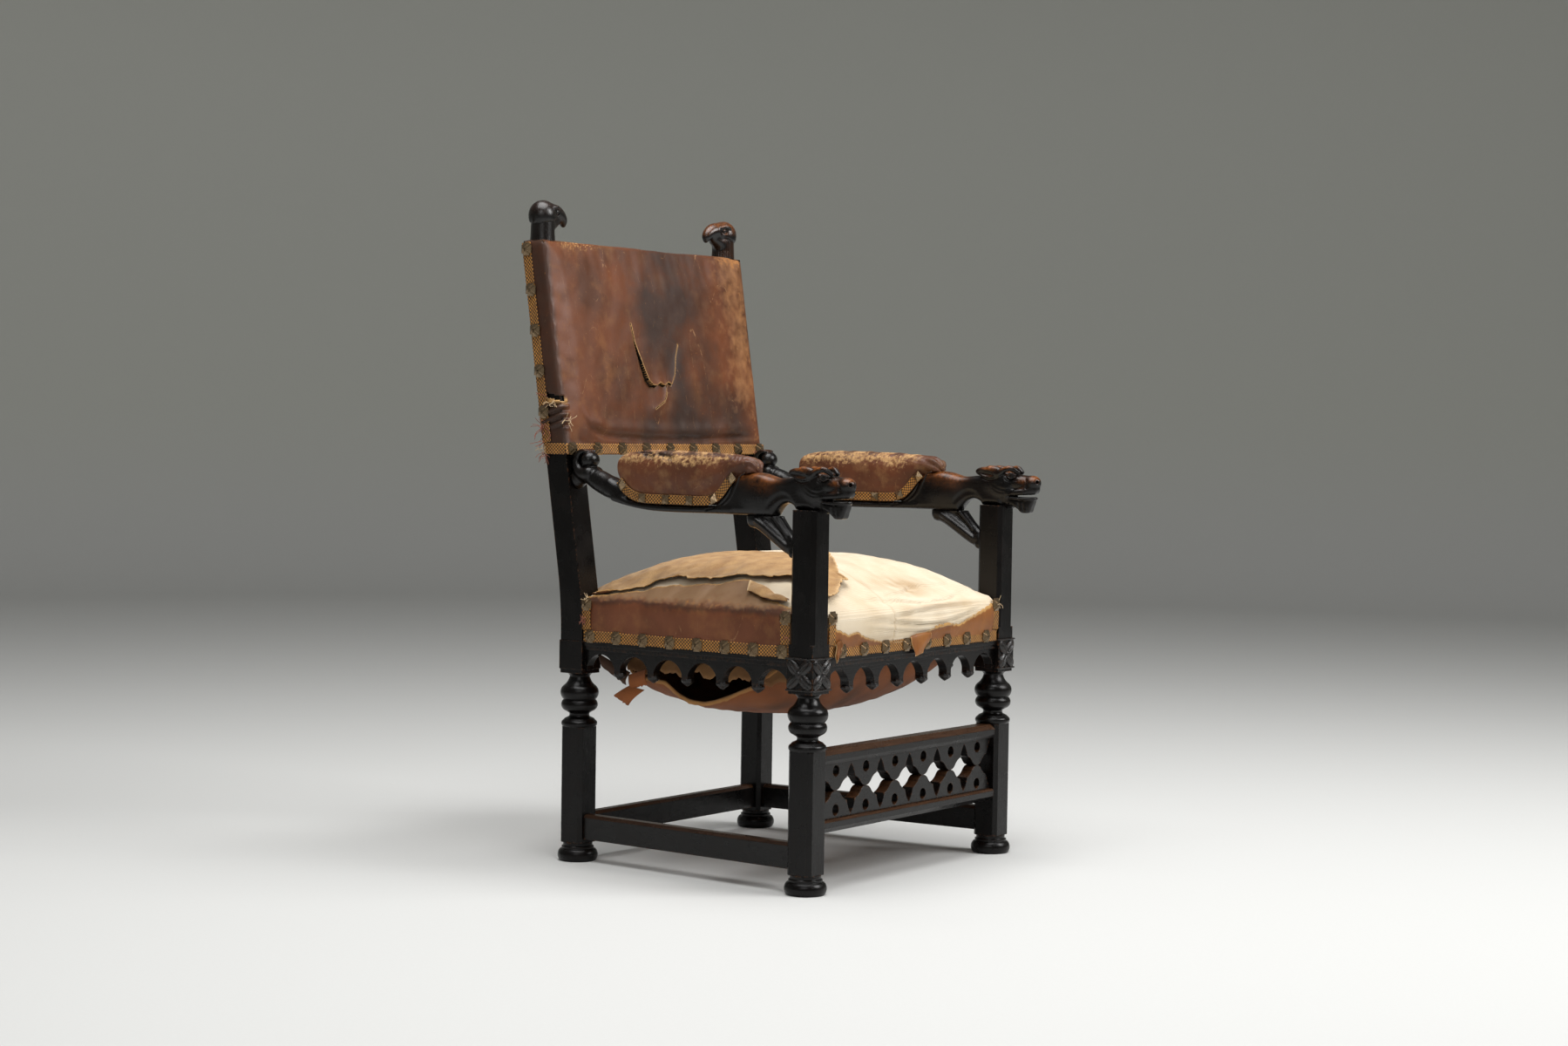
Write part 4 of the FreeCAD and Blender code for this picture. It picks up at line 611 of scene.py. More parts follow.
def carve_arm():
    """The arm in its own frame: neck and trough, hound's head, and the scroll round its ball."""
    arm = Carving((-92, -26, 578), (504, 26, 694), ARM_VOXEL)
    neck = curve([(128, 653), (100, 654), (66, 648), (34, 650), (4, 654)])
    arch = curve([(POST_HALF, POST_TOP), (28, 606), (40, 610), (54, 605), (64, 594), (67, 589)])
    underside = curve([(67, 589), (200, 589), (306, 589), (380, 598), (425, 612)])
    trough = [(430, 641), (412, 640), (360, 601), (182, 601), (141, 648)]
    outline = [*neck, (-14, 645), (-18, POST_TOP), *arch, *underside[1:], *trough]

    def half_width(u):
        return np.interp(u, (-20, 10, 50, 100, 140, 380, 425), (17, 16, 15, 19, 21, 21, 17))

    arm.join(board(outline, half_width, 11), 1)
    arm.join(ellipsoid((98, 0, 621), (44, 22.5, 33)), 8)
    arm.join(rod([(150, 17, 596, 4), (250, 18, 594, 4), (330, 17.5, 596, 4), (400, 14, 608, 5)]), 6)
    # The scroll winds from below the ball, up behind it and over its top
    arm.join(rod([(385, 0, 617, 17), (415, 0, 623, 18), (442, 0, 634, 18), (464, 0, 643, 15)]), 6)
    ball = (470, 669)
    winding = [(a, 24 - 0.045 * (a + 110), 12 - 0.046 * (a + 110)) for a in range(-110, 101, 15)]
    for across in (0, 5, 10):
        arm.join(rod([(ball[0] + r * math.cos(math.radians(a)), across,
                       ball[1] + r * math.sin(math.radians(a)), max(thick, 2.5))
                      for a, r, thick in winding], 1), 1.5)
    arm.cut(ellipsoid((ball[0] - 2, 24, ball[1]), (15.5, 14, 15.5)), 1.5)
    arm.join(ellipsoid((ball[0] - 3, 0, ball[1]), (14.5, 17, 14.5)), 0.8)
    # The stub that meets the back post
    arm.join(rod([(478, 0, 644, 13), (489, 0, 640, 15), (499, 0, 637, 19)]), 5)
    # Skull, muzzle, cheeks and lower jaw
    arm.join(ellipsoid((-8, 0, 637), (34, 18.5, 23)), 7)
    arm.join(rod([(-24, 0, 640, 17), (-48, 0, 638, 15.2), (-68, 0, 637.5, 13.8)]), 6)
    arm.join(ellipsoid((-18, 9, 626), (20, 11, 16)), 5)
    arm.join(rod([(-10, 0, 610, 14), (-30, 0, 608, 13)]), 5)
    jaw = curve([(-30, 612), (-52, 611), (-73, 612), (-74, 606), (-70, 596), (-67, 589), (-60, 587.5),
                 (-51, 589), (-44, 596), (-30, 602)], 4)
    arm.join(board(jaw, lambda u: np.interp(u, (-74, -60, -40), (9, 11.5, 14)), 5), 3)
    # Nose pad, lips hanging over the mouth, chin tuft
    arm.join(ellipsoid((-70, 0, 640), (14, 13.8, 11)), 4)
    arm.join(ellipsoid((-62, 0, 628.5), (20, 14.6, 10)), 4)
    arm.join(rod([(-30, 15, 622, 4.5), (-46, 13.5, 623, 5.5), (-62, 10.5, 624.5, 6), (-74, 5, 626, 5.5)]), 3)
    for u, top in ((-48, 604), (-56, 606), (-64, 606)):
        arm.cut(rod([(u, 13, top, 0.8), (u - 1, 12, 597, 1.7), (u - 2, 9, 586, 2.2)]), 1.5)
    for across in (0, 5.5):
        arm.cut(rod([(-77, across, 606, 0.8), (-75, across, 597, 1.5), (-69, across, 585.5, 2)]), 1.5)
    # The open mouth runs back to its corner between the lips
    for across in (0, 6, 12, 17):
        arm.cut(rod([(-44, across, 617, 0.6), (-54, across, 617.4, 1.8), (-72, across, 617.8, 2.8),
                     (-92, across, 618.4, 3.4)]), 1)
    arm.join(rod([(-34, 15.5, 613, 2.2), (-50, 14.5, 612, 2.8), (-66, 11.5, 612.4, 2.8), (-74, 5, 612.8, 2.6),
                  (-76, 0, 613, 2.6)]), 1.2)
    # Eyes in their sockets under heavy brows
    arm.cut(ellipsoid((-36, 17.5, 651), (10, 7, 6.5), -12), 3)
    arm.join(rod([(-12, 16, 654, 4.2), (-22, 15.5, 661, 4.6), (-34, 13, 663.5, 4.6), (-45, 8, 657, 3.6)]), 3)
    arm.join(ellipsoid((-35.5, 13.5, 651), (5.4, 4.6, 4.4)), 0.8)
    arm.join(rod([(-28, 16.5, 651, 1.3), (-35, 17, 655.4, 1.5), (-43, 13.5, 652.5, 1.2)]), 0.8)
    arm.join(rod([(-28, 16.5, 650, 1.3), (-35, 17, 646.6, 1.5), (-43, 13.5, 649.5, 1.2)]), 0.8)
    arm.cut(rod([(-25, 18, 645, 1.6), (-34, 18, 641.5, 2), (-46, 15, 644, 1.4)]), 1.5)
    arm.cut(rod([(-48, 0, 655, 2.4), (-40, 0, 661, 3), (-26, 0, 664, 3)]), 3)
    # Nostrils and the split of the nose
    arm.cut(ellipsoid((-79, 6, 640.5), (4.4, 3.2, 3.2)), 1.2)
    arm.cut(rod([(-84, 0, 640, 1.2), (-84.5, 0, 630, 1.4)]), 1.2)
    arm.cut(rod([(-62, 12.5, 646, 1.2), (-66, 13, 637, 1.6), (-64, 13.5, 630, 1.2)]), 1.5)
    # Folds of the cheek and the jowl
    for shift in (0, 6.5, 12.5):
        arm.cut(rod([(2 + shift / 3, 21, 640 - shift, 1.0), (-12, 21.5, 630.5 - shift, 2.0),
                     (-27, 20.5, 627 - shift * 0.7, 2.2), (-40, 17, 632 - shift * 0.4, 1.2)]), 2.2)
    # Laid-back ears, hollowed below their upper rim
    arm.join(ellipsoid((8, 15.5, 656), (25, 6, 9.5), 4), 2)
    arm.join(rod([(-17, 13, 657, 5), (-6, 13.5, 661, 6), (6, 14, 662, 6)]), 3)
    arm.cut(ellipsoid((11, 22, 653.5), (18, 5.5, 5.6), 8), 1.2)
    arm.cut(rod([(30, 15, 650, 1.5), (10, 17, 643.5, 2.2), (-8, 18, 645, 2)]), 2)
    arm.cut(rod([(34, 0, 664, 3), (10, 0, 668, 4.5), (-14, 0, 668, 4)]), 4)
    # The hollow that follows the arch, and the collar line beside the pad
    arm.cut(rod([(78, 24, 592, 3), (70, 23, 606, 5), (52, 20, 620, 6), (36, 20, 619, 5),
                 (22, 21, 608, 3)]), 4)
    collar = [(118, 655), (128, 650), (136, 634), (146, 616), (164, 602), (190, 594)]
    arm.join(rod([(u, 20.5, z, 1.5) for u, z in collar]), 1.2)
    arm.cut(rod([(u + 7, 20.5, z, 1.5) for u, z in collar]), 1.2)
    # Sawn flat where it stands on the post, meets the back post and carries the bracket
    on_post = np.minimum(POST_HALF + 0.3 - np.abs(arm.u), POST_TOP + 0.2 - arm.z)
    arm.plane(on_post)
    arm.plane(arm.u - (arm.z * 0.1528 + 396.2))
    arm.plane(np.where((arm.u > 40) & (arm.u < 140), 589 - arm.z, -100.0))
    return arm.mesh()


def carve_bracket():
    """A bent animal leg that props the arm from the post: heel, two tendons and a paw."""
    leg = Carving((20, -22, 516), (142, 22, 594), 1.0)
    leg.join(rod([(112, 0, 584, 13), (92, 0, 576, 14), (68, 0, 560, 13.2), (44, 0, 544, 12.5),
                  (30, 0, 538, 12.5)]), 3)
    leg.join(board([(68, 592), (108, 592), (64, 556), (28, 540), (28, 550)], lambda u: 6.5 + 0 * u, 2), 2)
    leg.join(ellipsoid((113, 0, 578), (10, 10, 9)), 4)
    leg.join(rod([(100, 12, 581, 5), (84, 11.5, 571, 4.4), (60, 10.5, 555, 4.2), (40, 10, 542, 4.4)]), 2)
    leg.join(rod([(70, 0, 590, 9.5), (58, 0, 577, 9), (45, 0, 562, 8.5), (33, 0, 549, 10)]), 3)
    leg.join(rod([(66, 10, 586, 3.6), (55, 8.5, 574, 3.2), (42, 8, 559, 3)]), 2)
    leg.join(rod([(66, 0, 591, 10), (112, 0, 591, 11)]), 4)
    leg.join(ellipsoid((31, 0, 543), (11, 12.5, 15), 20), 4)
    for across, low in ((0, 529), (9, 532)):
        leg.join(ellipsoid((28, across, low), (7, 5, 8), 25), 1.5)
    leg.cut(rod([(40, 4.6, 536, 1.2), (30, 4.6, 526, 1.6), (22, 4.6, 520, 1.6)]), 1)
    leg.cut(rod([(42, 12, 552, 1.2), (34, 13, 549, 1.8), (24, 12, 552, 1.2)]), 1.5)
    leg.plane(leg.z - 588.8)
    leg.plane(POST_HALF + 0.2 - leg.u)
    return leg.mesh()


# Where hands have rubbed the arm, as (u, z, reach, share)
RUBBED = [(6, 664, 12, 1.0), (-26, 666, 9, 1.0), (-76, 649, 8, 0.8), (-56, 640, 8, 0.7), (76, 644, 20, 0.75),
          (104, 650, 16, 0.7), (126, 646, 10, 0.7), (470, 694, 9, 0.4)]


def make_arms():
    """Both carved arms and their brackets, with the places that hands have rubbed."""
    arm_points, arm_quads = carve_arm()
    leg_points, leg_quads = carve_bracket()
    for name, side in SIDES.items():
        for label, points, quads, node in (("carved_arm", arm_points, arm_quads, "arm"),
                                           ("carved_bracket", leg_points, leg_quads, "arm_bracket")):
            faces = quads if side < 0 else quads[:, ::-1]
            piece = solid(f"{label}_{name}", from_arm(points, side), faces)
            paint(piece, finish["wood_deep"])
            side_view = points[:, [0, 2]]
            near = [share * np.exp(-((side_view - (u, z)) ** 2).sum(1) / reach ** 2)
                    for u, z, reach, share in RUBBED]
            rubbed_tops(piece, np.max(near, axis=0))
            settle(piece, "ebonised_wood", f"{node}_{name}")


# Finials: hooded eagle heads, beaks turned inwards

POST_BACK_X = 252.5
FINIAL_Y = 317.06
FINIAL_FOOT = 1034
FINIAL_SCALE = 1.08


def carve_finial():
    """An eagle's head, u towards the beak: fluted neck, smooth overhanging hood, brow and hooked beak."""
    head = Carving((-28, -26, -2), (56, 26, 67), 0.8)
    head.join(rod([(0, 0, -14, 20.5), (0, 0, 4, 19.3), (0, 0, 22, 18.6), (0, 0, 40, 18)]), 1)
    for turn in range(-66, 67, 12):
        a = math.radians(turn)
        head.cut(rod([(20.6 * math.cos(a), abs(20.6 * math.sin(a)), 1, 1.5),
                      (20 * math.cos(a), abs(20 * math.sin(a)), 14, 1.7),
                      (19.6 * math.cos(a), abs(19.6 * math.sin(a)), 28, 1.2)], 2), 1)
    hood = Carving((-28, -26, -2), (56, 26, 67), 0.8)
    hood.join(ellipsoid((-1, 0, 40), (22.5, 21.5, 24)), 1)
    hood.join(rod([(6, 0, 46, 15), (16, 0, 46, 12)]), 6)
    hood.join(rod([(-20, 0, 32, 3), (-22, 0, 27, 2)]), 3)
    hood.plane((27 + 0.24 * (hood.u + 22) - hood.z) * 0.97)
    head.field = np.minimum(head.field, hood.field)
    # Brow over a small eye, then the beak, thick at its root and hooked down at its tip
    head.join(rod([(14, 0, 46, 15), (28, 0, 46, 13), (39, 0, 42, 10.5), (46, 0, 36, 8),
                   (48.5, 0, 29.5, 4.5)]), 4)
    head.join(rod([(12, 0, 28, 13), (24, 0, 32, 10), (34, 0, 36, 6)]), 5)
    head.cut(rod([(18, 14, 35, 0.6), (28, 11.5, 35, 1.0), (38, 9, 32, 1.0)]), 0.8)
    head.cut(ellipsoid((17, 18, 46), (7, 6, 5.5)), 2)
    head.join(rod([(6, 19, 52, 2.6), (14, 17.5, 53.5, 3.2), (23, 12, 51, 2.6)]), 2)
    head.join(ellipsoid((16.5, 13.8, 46.5), (4, 3.4, 3.6)), 0.8)
    head.cut(rod([(20, 12, 40, 1), (24, 11.5, 46, 1.4), (24, 8, 53, 1.2)]), 1.2)
    head.cut(ellipsoid((31, 8, 47), (3, 2, 1.8)), 1)
    head.plane(-head.z)
    return head.mesh()


def make_finials():
    """The two eagle heads on the back posts, the right one rubbed browner."""
    points, quads = carve_finial()
    for name, side in SIDES.items():
        x = side * (POST_BACK_X - points[:, 0] * FINIAL_SCALE)
        y = FINIAL_Y + points[:, 1] * FINIAL_SCALE
        placed = np.column_stack([x, y, FINIAL_FOOT + points[:, 2] * FINIAL_SCALE]) * MM
        piece = solid(f"carved_eagle_{name}", placed, quads if side < 0 else quads[:, ::-1])
        paint(piece, finish["wood_carved"])
        rubbed_tops(piece, np.full(len(points), 0.05 if side < 0 else 0.45))
        settle(piece, "ebonised_wood", f"eagle_finial_{name}")


# Rosettes on the front legs and knobs under the aprons

ROSETTE_HALF, ROSETTE_MIDDLE = 24.5, 345.0
# A knob's outline from its neck down, as (radius, height)
KNOB_PROFILE = [(7.4, 324), (7.4, 322.4), (9.8, 320.6), (11, 318), (10.4, 315.4), (6.6, 312), (2.4, 309.2),
                (0.4, 308.4)]


def carve_rosette():
    """Four leaves that fill a square to its corners and meet at a ring button; u across, v out, z up."""
    flower = Carving((-27, -9, -27), (27, 9, 27), 0.7)
    for turn in (45, 135, 225, 315):
        a = math.radians(turn)
        cos, sin = math.cos(a), math.sin(a)
        flower.join(ellipsoid((15 * cos, 0, 15 * sin), (16, 5.4, 9.5), turn % 180), 0.6)
        flower.cut(rod([(7 * cos, 5.4, 7 * sin, 1.6), (17 * cos, 5.8, 17 * sin, 2.4),
                        (27 * cos, 4, 27 * sin, 1.2)]), 1.5)
        flower.join(rod([(6 * cos, 4.6, 6 * sin, 0.7), (16 * cos, 4.4, 16 * sin, 0.9),
                         (25 * cos, 2, 25 * sin, 0.6)]), 0.8)
    flower.join(ellipsoid((0, 0, 0), (6.2, 7, 6.2)), 0.5)
    flower.cut(ellipsoid((0, 8, 0), (2.6, 3, 2.6)), 0.8)
    for height in (-24.6, 24.6):
        flower.join(rod([(-24.5, 1.6, height, 1.5), (24.5, 1.6, height, 1.5)]), 0.5)
    flower.plane(np.maximum(np.abs(flower.u), np.abs(flower.z)) - 26)
    return flower.mesh()


def make_ornament():
    """Rosettes on the two outer faces of each front leg, and the knobs between the arches."""
    points, quads = carve_rosette()
    for name, side in SIDES.items():
        u, v, z = points[:, 0], points[:, 1], points[:, 2] + ROSETTE_MIDDLE
        front = np.column_stack([side * LEG_X + u, LEG_Y - ROSETTE_HALF + v, z])
        outer = np.column_stack([side * (LEG_X + ROSETTE_HALF) + v, LEG_Y + u, z])
        for face, places, turned in (("front", front, quads), ("outer", outer, quads[:, ::-1])):
            rosette = solid(f"rosette_{face}_{name}", places * MM, turned)
            paint(rosette, finish["wood_carved"])
            settle(rosette, "ebonised_wood")
    corners = 8
    verts, faces = [], []
    for wall, arches in (("front", 7), ("left", 6), ("right", 6)):
        begin, along, inward, length = wall_frame(wall)
        for number in range(1, arches):
            plan = begin + along * length * number / arches + inward * 10
            first = len(verts)
            for radius, z in KNOB_PROFILE:
                for k in range(corners):
                    a = math.radians(22.5) + 2 * math.pi * k / corners
                    verts.append((plan[0] + radius * math.cos(a), plan[1] + radius * math.sin(a), z))
            for level in range(len(KNOB_PROFILE) - 1):
                for k in range(corners):
                    a, b = first + level * corners + k, first + level * corners + (k + 1) % corners
                    faces.append((a + corners, b + corners, b, a))
            faces.append(tuple(first + k for k in range(corners)))
            last = first + (len(KNOB_PROFILE) - 1) * corners
            faces.append(tuple(last + k for k in reversed(range(corners))))
    knobs = solid("apron_knobs", np.array(verts) * MM, faces, smooth=False)
    paint(knobs, finish["wood_carved"])
    settle(knobs, "ebonised_wood")


# Soft goods: shared tools

def smooth_noise(points, cell, seed):
    """Repeatable soft noise from -1 to 1 at places given in mm, with cells of that size."""
    draw = np.random.default_rng(seed)
    total = np.zeros(len(points))
    for _ in range(7):
        direction = draw.normal(size=points.shape[1])
        direction *= 2 * math.pi / (cell * np.linalg.norm(direction)) * draw.uniform(0.6, 1.7)
        total += np.sin(points @ direction + draw.uniform(0, 2 * math.pi))
    return total / 4


def read(items, what):
    """Three numbers for each point or face of a mesh, such as its place or its normal."""
    values = np.zeros(len(items) * 3, np.float32)
    items.foreach_get(what, values)
    return values.reshape(-1, 3).astype(float)


def read_points(piece):
    """The points of a mesh in mm."""
    return read(piece.data.vertices, "co") / MM


def write_points(piece, points):
    """Moves the points of a mesh to places in mm."""
    piece.data.vertices.foreach_set("co", (points * MM).astype(np.float32).ravel())
    piece.data.update()


def read_normals(piece):
    """The normals of a mesh's points."""
    return read(piece.data.vertices, "normal")


def bump_at(value, centre, width):
    """A smooth hill of height 1."""
    return np.exp(-((value - centre) / width) ** 2)


def swell(piece, tacked, pressure, slack, limit):
    """Swells a stuffed cover as cloth, held where tacked is true; no point moves by more than limit mm."""
    begin = read_points(piece)
    held = piece.vertex_groups.new(name="tacked")
    held.add([int(i) for i in np.flatnonzero(tacked)], 1.0, "REPLACE")
    cloth = piece.modifiers.new("swelling", "CLOTH")
    cloth.settings.vertex_group_mass = "tacked"
    cloth.settings.use_pressure = True
    cloth.settings.uniform_pressure_force = pressure
    cloth.settings.shrink_min = -slack
    cloth.settings.effector_weights.gravity = 0
    cloth.settings.bending_stiffness = 2
    last = 20
    cloth.point_cache.frame_end = last
    for number in range(1, last + 1):
        bpy.context.scene.frame_set(number)
    shown = piece.evaluated_get(bpy.context.evaluated_depsgraph_get())
    swollen = read(shown.data.vertices, "co") / MM
    piece.modifiers.remove(cloth)
    piece.vertex_groups.remove(held)
    bpy.context.scene.frame_set(1)
    moved = swollen - begin
    far = np.linalg.norm(moved, axis=1, keepdims=True)
    write_points(piece, begin + moved * np.minimum(1, limit / np.maximum(far, 1e-6)))


def refine(piece):
    """Divides each face in four, rounding the mesh as it goes."""
    divide = piece.modifiers.new("finer", "SUBSURF")
    divide.levels = divide.render_levels = 1
    shown = piece.evaluated_get(bpy.context.evaluated_depsgraph_get())
    mesh = bpy.data.meshes.new_from_object(shown)
    piece.modifiers.clear()
    old = piece.data
    piece.data = mesh
    bpy.data.meshes.remove(old)


def drop_faces(piece, dropped):
    """Removes the faces where dropped is true, and what is left loose."""
    work = bmesh.new()
    work.from_mesh(piece.data)
    work.faces.ensure_lookup_table()
    bmesh.ops.delete(work, geom=[work.faces[i] for i in np.flatnonzero(dropped)], context="FACES")
    work.to_mesh(piece.data)
    work.free()


def face_places(piece):
    """Centres in mm and normals of a mesh's faces."""
    return read(piece.data.polygons, "center") / MM, read(piece.data.polygons, "normal")


def turn_towards(piece, way):
    """Flips the faces of a sheet that look away from a direction."""
    if (face_places(piece)[1] @ np.array(way)).mean() < 0:
        piece.data.flip_normals()


def lengths_along(line):
    """How far along a line each of its points lies."""
    return np.concatenate([[0], np.cumsum(np.linalg.norm(np.diff(line, axis=0), axis=1))])


def cloth_grid(name, rows):
    """A sheet from rows of points in mm."""
    rows = np.asarray(rows, float)
    high, wide = rows.shape[:2]
    faces = [(i * wide + j, i * wide + j + 1, (i + 1) * wide + j + 1, (i + 1) * wide + j)
             for i in range(high - 1) for j in range(wide - 1)]
    return solid(name, rows.reshape(-1, 3) * MM, faces)


def thicken(piece, thickness_mm, inner=0):
    """Gives a sheet its thickness inwards; its inner side and rim may take another material."""
    layer = piece.modifiers.new("thickness", "SOLIDIFY")
    layer.thickness = thickness_mm * MM
    layer.offset = -1
    layer.material_offset = inner
    layer.material_offset_rim = inner


def to_line(points, line):
    """Distance of each 2D point from a line of points, and how far along the line it lies."""
    line = np.asarray(line, float)
    best = np.full(len(points), 1e9)
    place = np.zeros(len(points))
    done = 0.0
    for a, b in zip(line, line[1:]):
        edge = b - a
        length = np.linalg.norm(edge)
        share = np.clip(((points - a) @ edge) / length ** 2, 0, 1)
        gap = np.linalg.norm(points - a - share[:, None] * edge, axis=1)
        nearer = gap < best
        best = np.where(nearer, gap, best)
        place = np.where(nearer, done + share * length, place)
        done += length
    return best, place


def inside_of(points, corners):
    """Whether each 2D point lies in a polygon."""
    corners = np.asarray(corners, float)
    found = np.zeros(len(points), bool)
    for a, b in zip(corners, np.roll(corners, -1, 0)):
        crosses = (a[1] > points[:, 1]) != (b[1] > points[:, 1])
        if a[1] != b[1]:
            found ^= crosses & (points[:, 0] < a[0] + (points[:, 1] - a[1]) * (b[0] - a[0]) / (b[1] - a[1]))
    return found


# Seat: stuffed calico, torn leather walls and loose flaps

SEAT_FRONT, SEAT_BACK = -276.9, 241.1
SEAT_FOOT = 371.0
SEAT_EDGE = 438.0
SEAT_RISE = 68.0
SEAT_ROUND = 11.0
SIDE_FRONT_X = 294.3
SIDE_FRONT_Y = -236.9
BACK_POST_FRONT = 201.1
BACK_POST_INNER = 229.5
FRONT_POST_INNER = 255.5
SKIN = 0.8


def side_x(y):
    """Outer face of the side rails at a depth."""
    return SIDE_FRONT_X - (y - SIDE_FRONT_Y) * math.tan(SPLAY)


def dome(x, y):
    """Height of the stuffed seat over its plan."""
    def rise(distance, reach):
        return 1 - (1 - np.clip(distance / reach, 0, 1)) ** 2.9

    half = side_x(y)
    across = rise(half - x, 245) * rise(half + x, 245)
    return SEAT_EDGE + SEAT_RISE * across * rise(y - SEAT_FRONT, 235) * rise(SEAT_BACK - y, 235)


def front_bulge(x, z):
    """How far the calico swells over the front rail."""
    ends = np.clip((FRONT_POST_INNER - np.abs(x)) / 30, 0, 1)
    return 6 * ends * np.sin(np.pi * np.clip((z - 379) / 68, 0, 1))


def make_calico_seat():
    """Calico drawn over the stuffing and tacked to the rails, notched round the posts."""
    block = Carving((-292, -308, 360), (256, 308, 536), 7.0)
    y, x, z = block.u, block.v, block.z
    top = (z - dome(x, y) - 2) * 0.85 + SEAT_ROUND
    walls = [x - side_x(y), SEAT_FRONT - y + 0 * x, y - SEAT_BACK + 0 * x]
    wall = np.maximum.reduce(walls) - SKIN + SEAT_ROUND + 0 * z
    outside = np.hypot(np.maximum(top, 0), np.maximum(wall, 0))
    rounded = outside + np.minimum(np.maximum(top, wall), 0) - SEAT_ROUND
    block.field = np.maximum.reduce([
        rounded,
        SEAT_FOOT - z + 0 * x * y,
        np.minimum(x - FRONT_POST_INNER + 1, SIDE_FRONT_Y + 1 - y) + 0 * z,
        np.minimum(x - BACK_POST_INNER + 1, y - BACK_POST_FRONT + 1) + 0 * z,
    ])
    points, quads = block.mesh()
    seat = solid("calico_seat", points[:, [1, 0, 2]] * MM, quads[:, ::-1])
    centres, normals = face_places(seat)
    drop_faces(seat, (normals[:, 2] < -0.6) & (centres[:, 2] < SEAT_FOOT + 5))
    swell(seat, read_points(seat)[:, 2] < SEAT_EDGE + 4, 1.2, 0.008, 8)
    refine(seat)
    points, normals = read_points(seat), read_normals(seat)
    x, y, z = points.T
    lift = 1.2 * smooth_noise(points[:, :2], 130, 4) + 0.5 * smooth_noise(points[:, :2], 45, 5)
    lift *= np.clip((z - SEAT_EDGE) / 12, 0, 1)
    before = normals[:, 1] < -0.3
    lift += before * front_bulge(x, z) * (z < 450)
    # Long creases that run across the front, drawn towards the corners
    for height, depth, sway in ((412, 5.0, 6), (425, 4.2, -5), (443, 3.6, 5), (400, 3.0, 4), (456, 2.2, -6)):
        line = height + sway * np.sin(x / 62 + height) + 14 * (np.abs(x + 30) / 230) ** 2
        fold = bump_at(z, line, 2.0) - 0.9 * bump_at(z, line + 5.0, 3.6)
        lift -= depth * fold * (y < -150) * np.clip(1.1 - np.abs(x - 30) / 170, 0, 1)
    seam = bump_at(x, -70 + 10 * np.sin(y / 90), 2.2) * (y < -60)
    lift -= 1.0 * seam
    write_points(seat, points + normals * (lift * np.clip((z - 372) / 20, 0, 1))[:, None])
    patchy = np.clip(1 + smooth_noise(points, 40, 6), 0, 1.4)
    smudge = 0.5 * bump_at(x, 30, 70) * bump_at(y, -228, 22) * patchy
    smudge += 0.45 * bump_at(z, 436, 4) * (y < -200) * bump_at(x, 90, 110)
    smudge += 0.3 * seam + 0.2 * np.clip(smooth_noise(points, 90, 7), 0, 1)
    mark(seat, "stain", np.clip(smudge, 0, 0.8))
    paint(seat, finish["calico"])
    return settle(seat, "calico", "seat_cushion")


def keep_outside(points, tree, gap):
    """Moves points in mm off a surface to at least this gap outside it."""
    kept = []
    for point in points:
        place, normal, _, _ = tree.find_nearest(Vector(point * MM))
        place, normal = np.array(place) / MM, np.array(normal)
        kept.append(point + normal * max(gap - (point - place) @ normal, 0))
    return np.array(kept)


def surface_of(tree):
    """A function that gives the height of a finished surface over a plan place in mm."""

    def height(x, y, otherwise=SEAT_EDGE):
        hit = tree.ray_cast(Vector((x * MM, y * MM, 1.0)), Vector((0, 0, -1)))
        return hit[0].z / MM if hit[0] else otherwise

    return height


SIDE_LENGTH = (BACK_POST_FRONT - SIDE_FRONT_Y) / math.cos(SPLAY)


def wall_frame(wall):
    """Start, direction, inward normal and length of a seat wall, in mm."""
    if wall == "front":
        begin, along, inward = (-FRONT_POST_INNER, SEAT_FRONT), (1.0, 0), (0, 1.0)
        length = 2 * FRONT_POST_INNER
    elif wall == "back":
        begin, along, inward = (-BACK_POST_INNER, SEAT_BACK), (1.0, 0), (0, -1.0)
        length = 2 * BACK_POST_INNER
    else:
        side = SIDES[wall]
        begin = (side * SIDE_FRONT_X, SIDE_FRONT_Y)
        along = (-side * math.sin(SPLAY), math.cos(SPLAY))
        inward = (-side * math.cos(SPLAY), -math.sin(SPLAY))
        length = SIDE_LENGTH
    return np.array(begin), np.array(along), np.array(inward), length


# Where the leather walls start, and how much leather it takes from there to the edge of the seat
LEATHER_FOOT = 369.6
# How far each wall reaches over that edge, or stays below it where negative, as (place along, reach)
TORN_EDGES = {
    "left": [(0, 8), (26, 12), (60, 20), (100, 30), (120, 40), (134, 62), (169, 56), (218, 46), (269, 38),
             (317, 27), (354, 18), (384, 11), (424, 7), (439, 6)],
    "right": [(0, 8), (60, 22), (140, 34), (210, 30), (300, 36), (380, 24), (439, 8)],
    "front": [(0, -20), (22, -24), (50, -34), (74, -30), (100, -40), (150, -50), (200, -53), (247, -51),
              (275, -44), (305, -33), (345, -30), (380, -34), (410, -24), (442, -16), (485, -4), (511, 2)],
    "back": [(0, 3), (90, 6), (200, 7), (330, 5), (459, 3)],
}


def wall_belly(wall, x, z):
    """How far a leather wall stands off its rail."""
    if wall == "front":
        return 1.6 + front_bulge(x, z)
    return 1.0 + 1.8 * np.sin(np.pi * np.clip((z - 386) / 60, 0, 1))


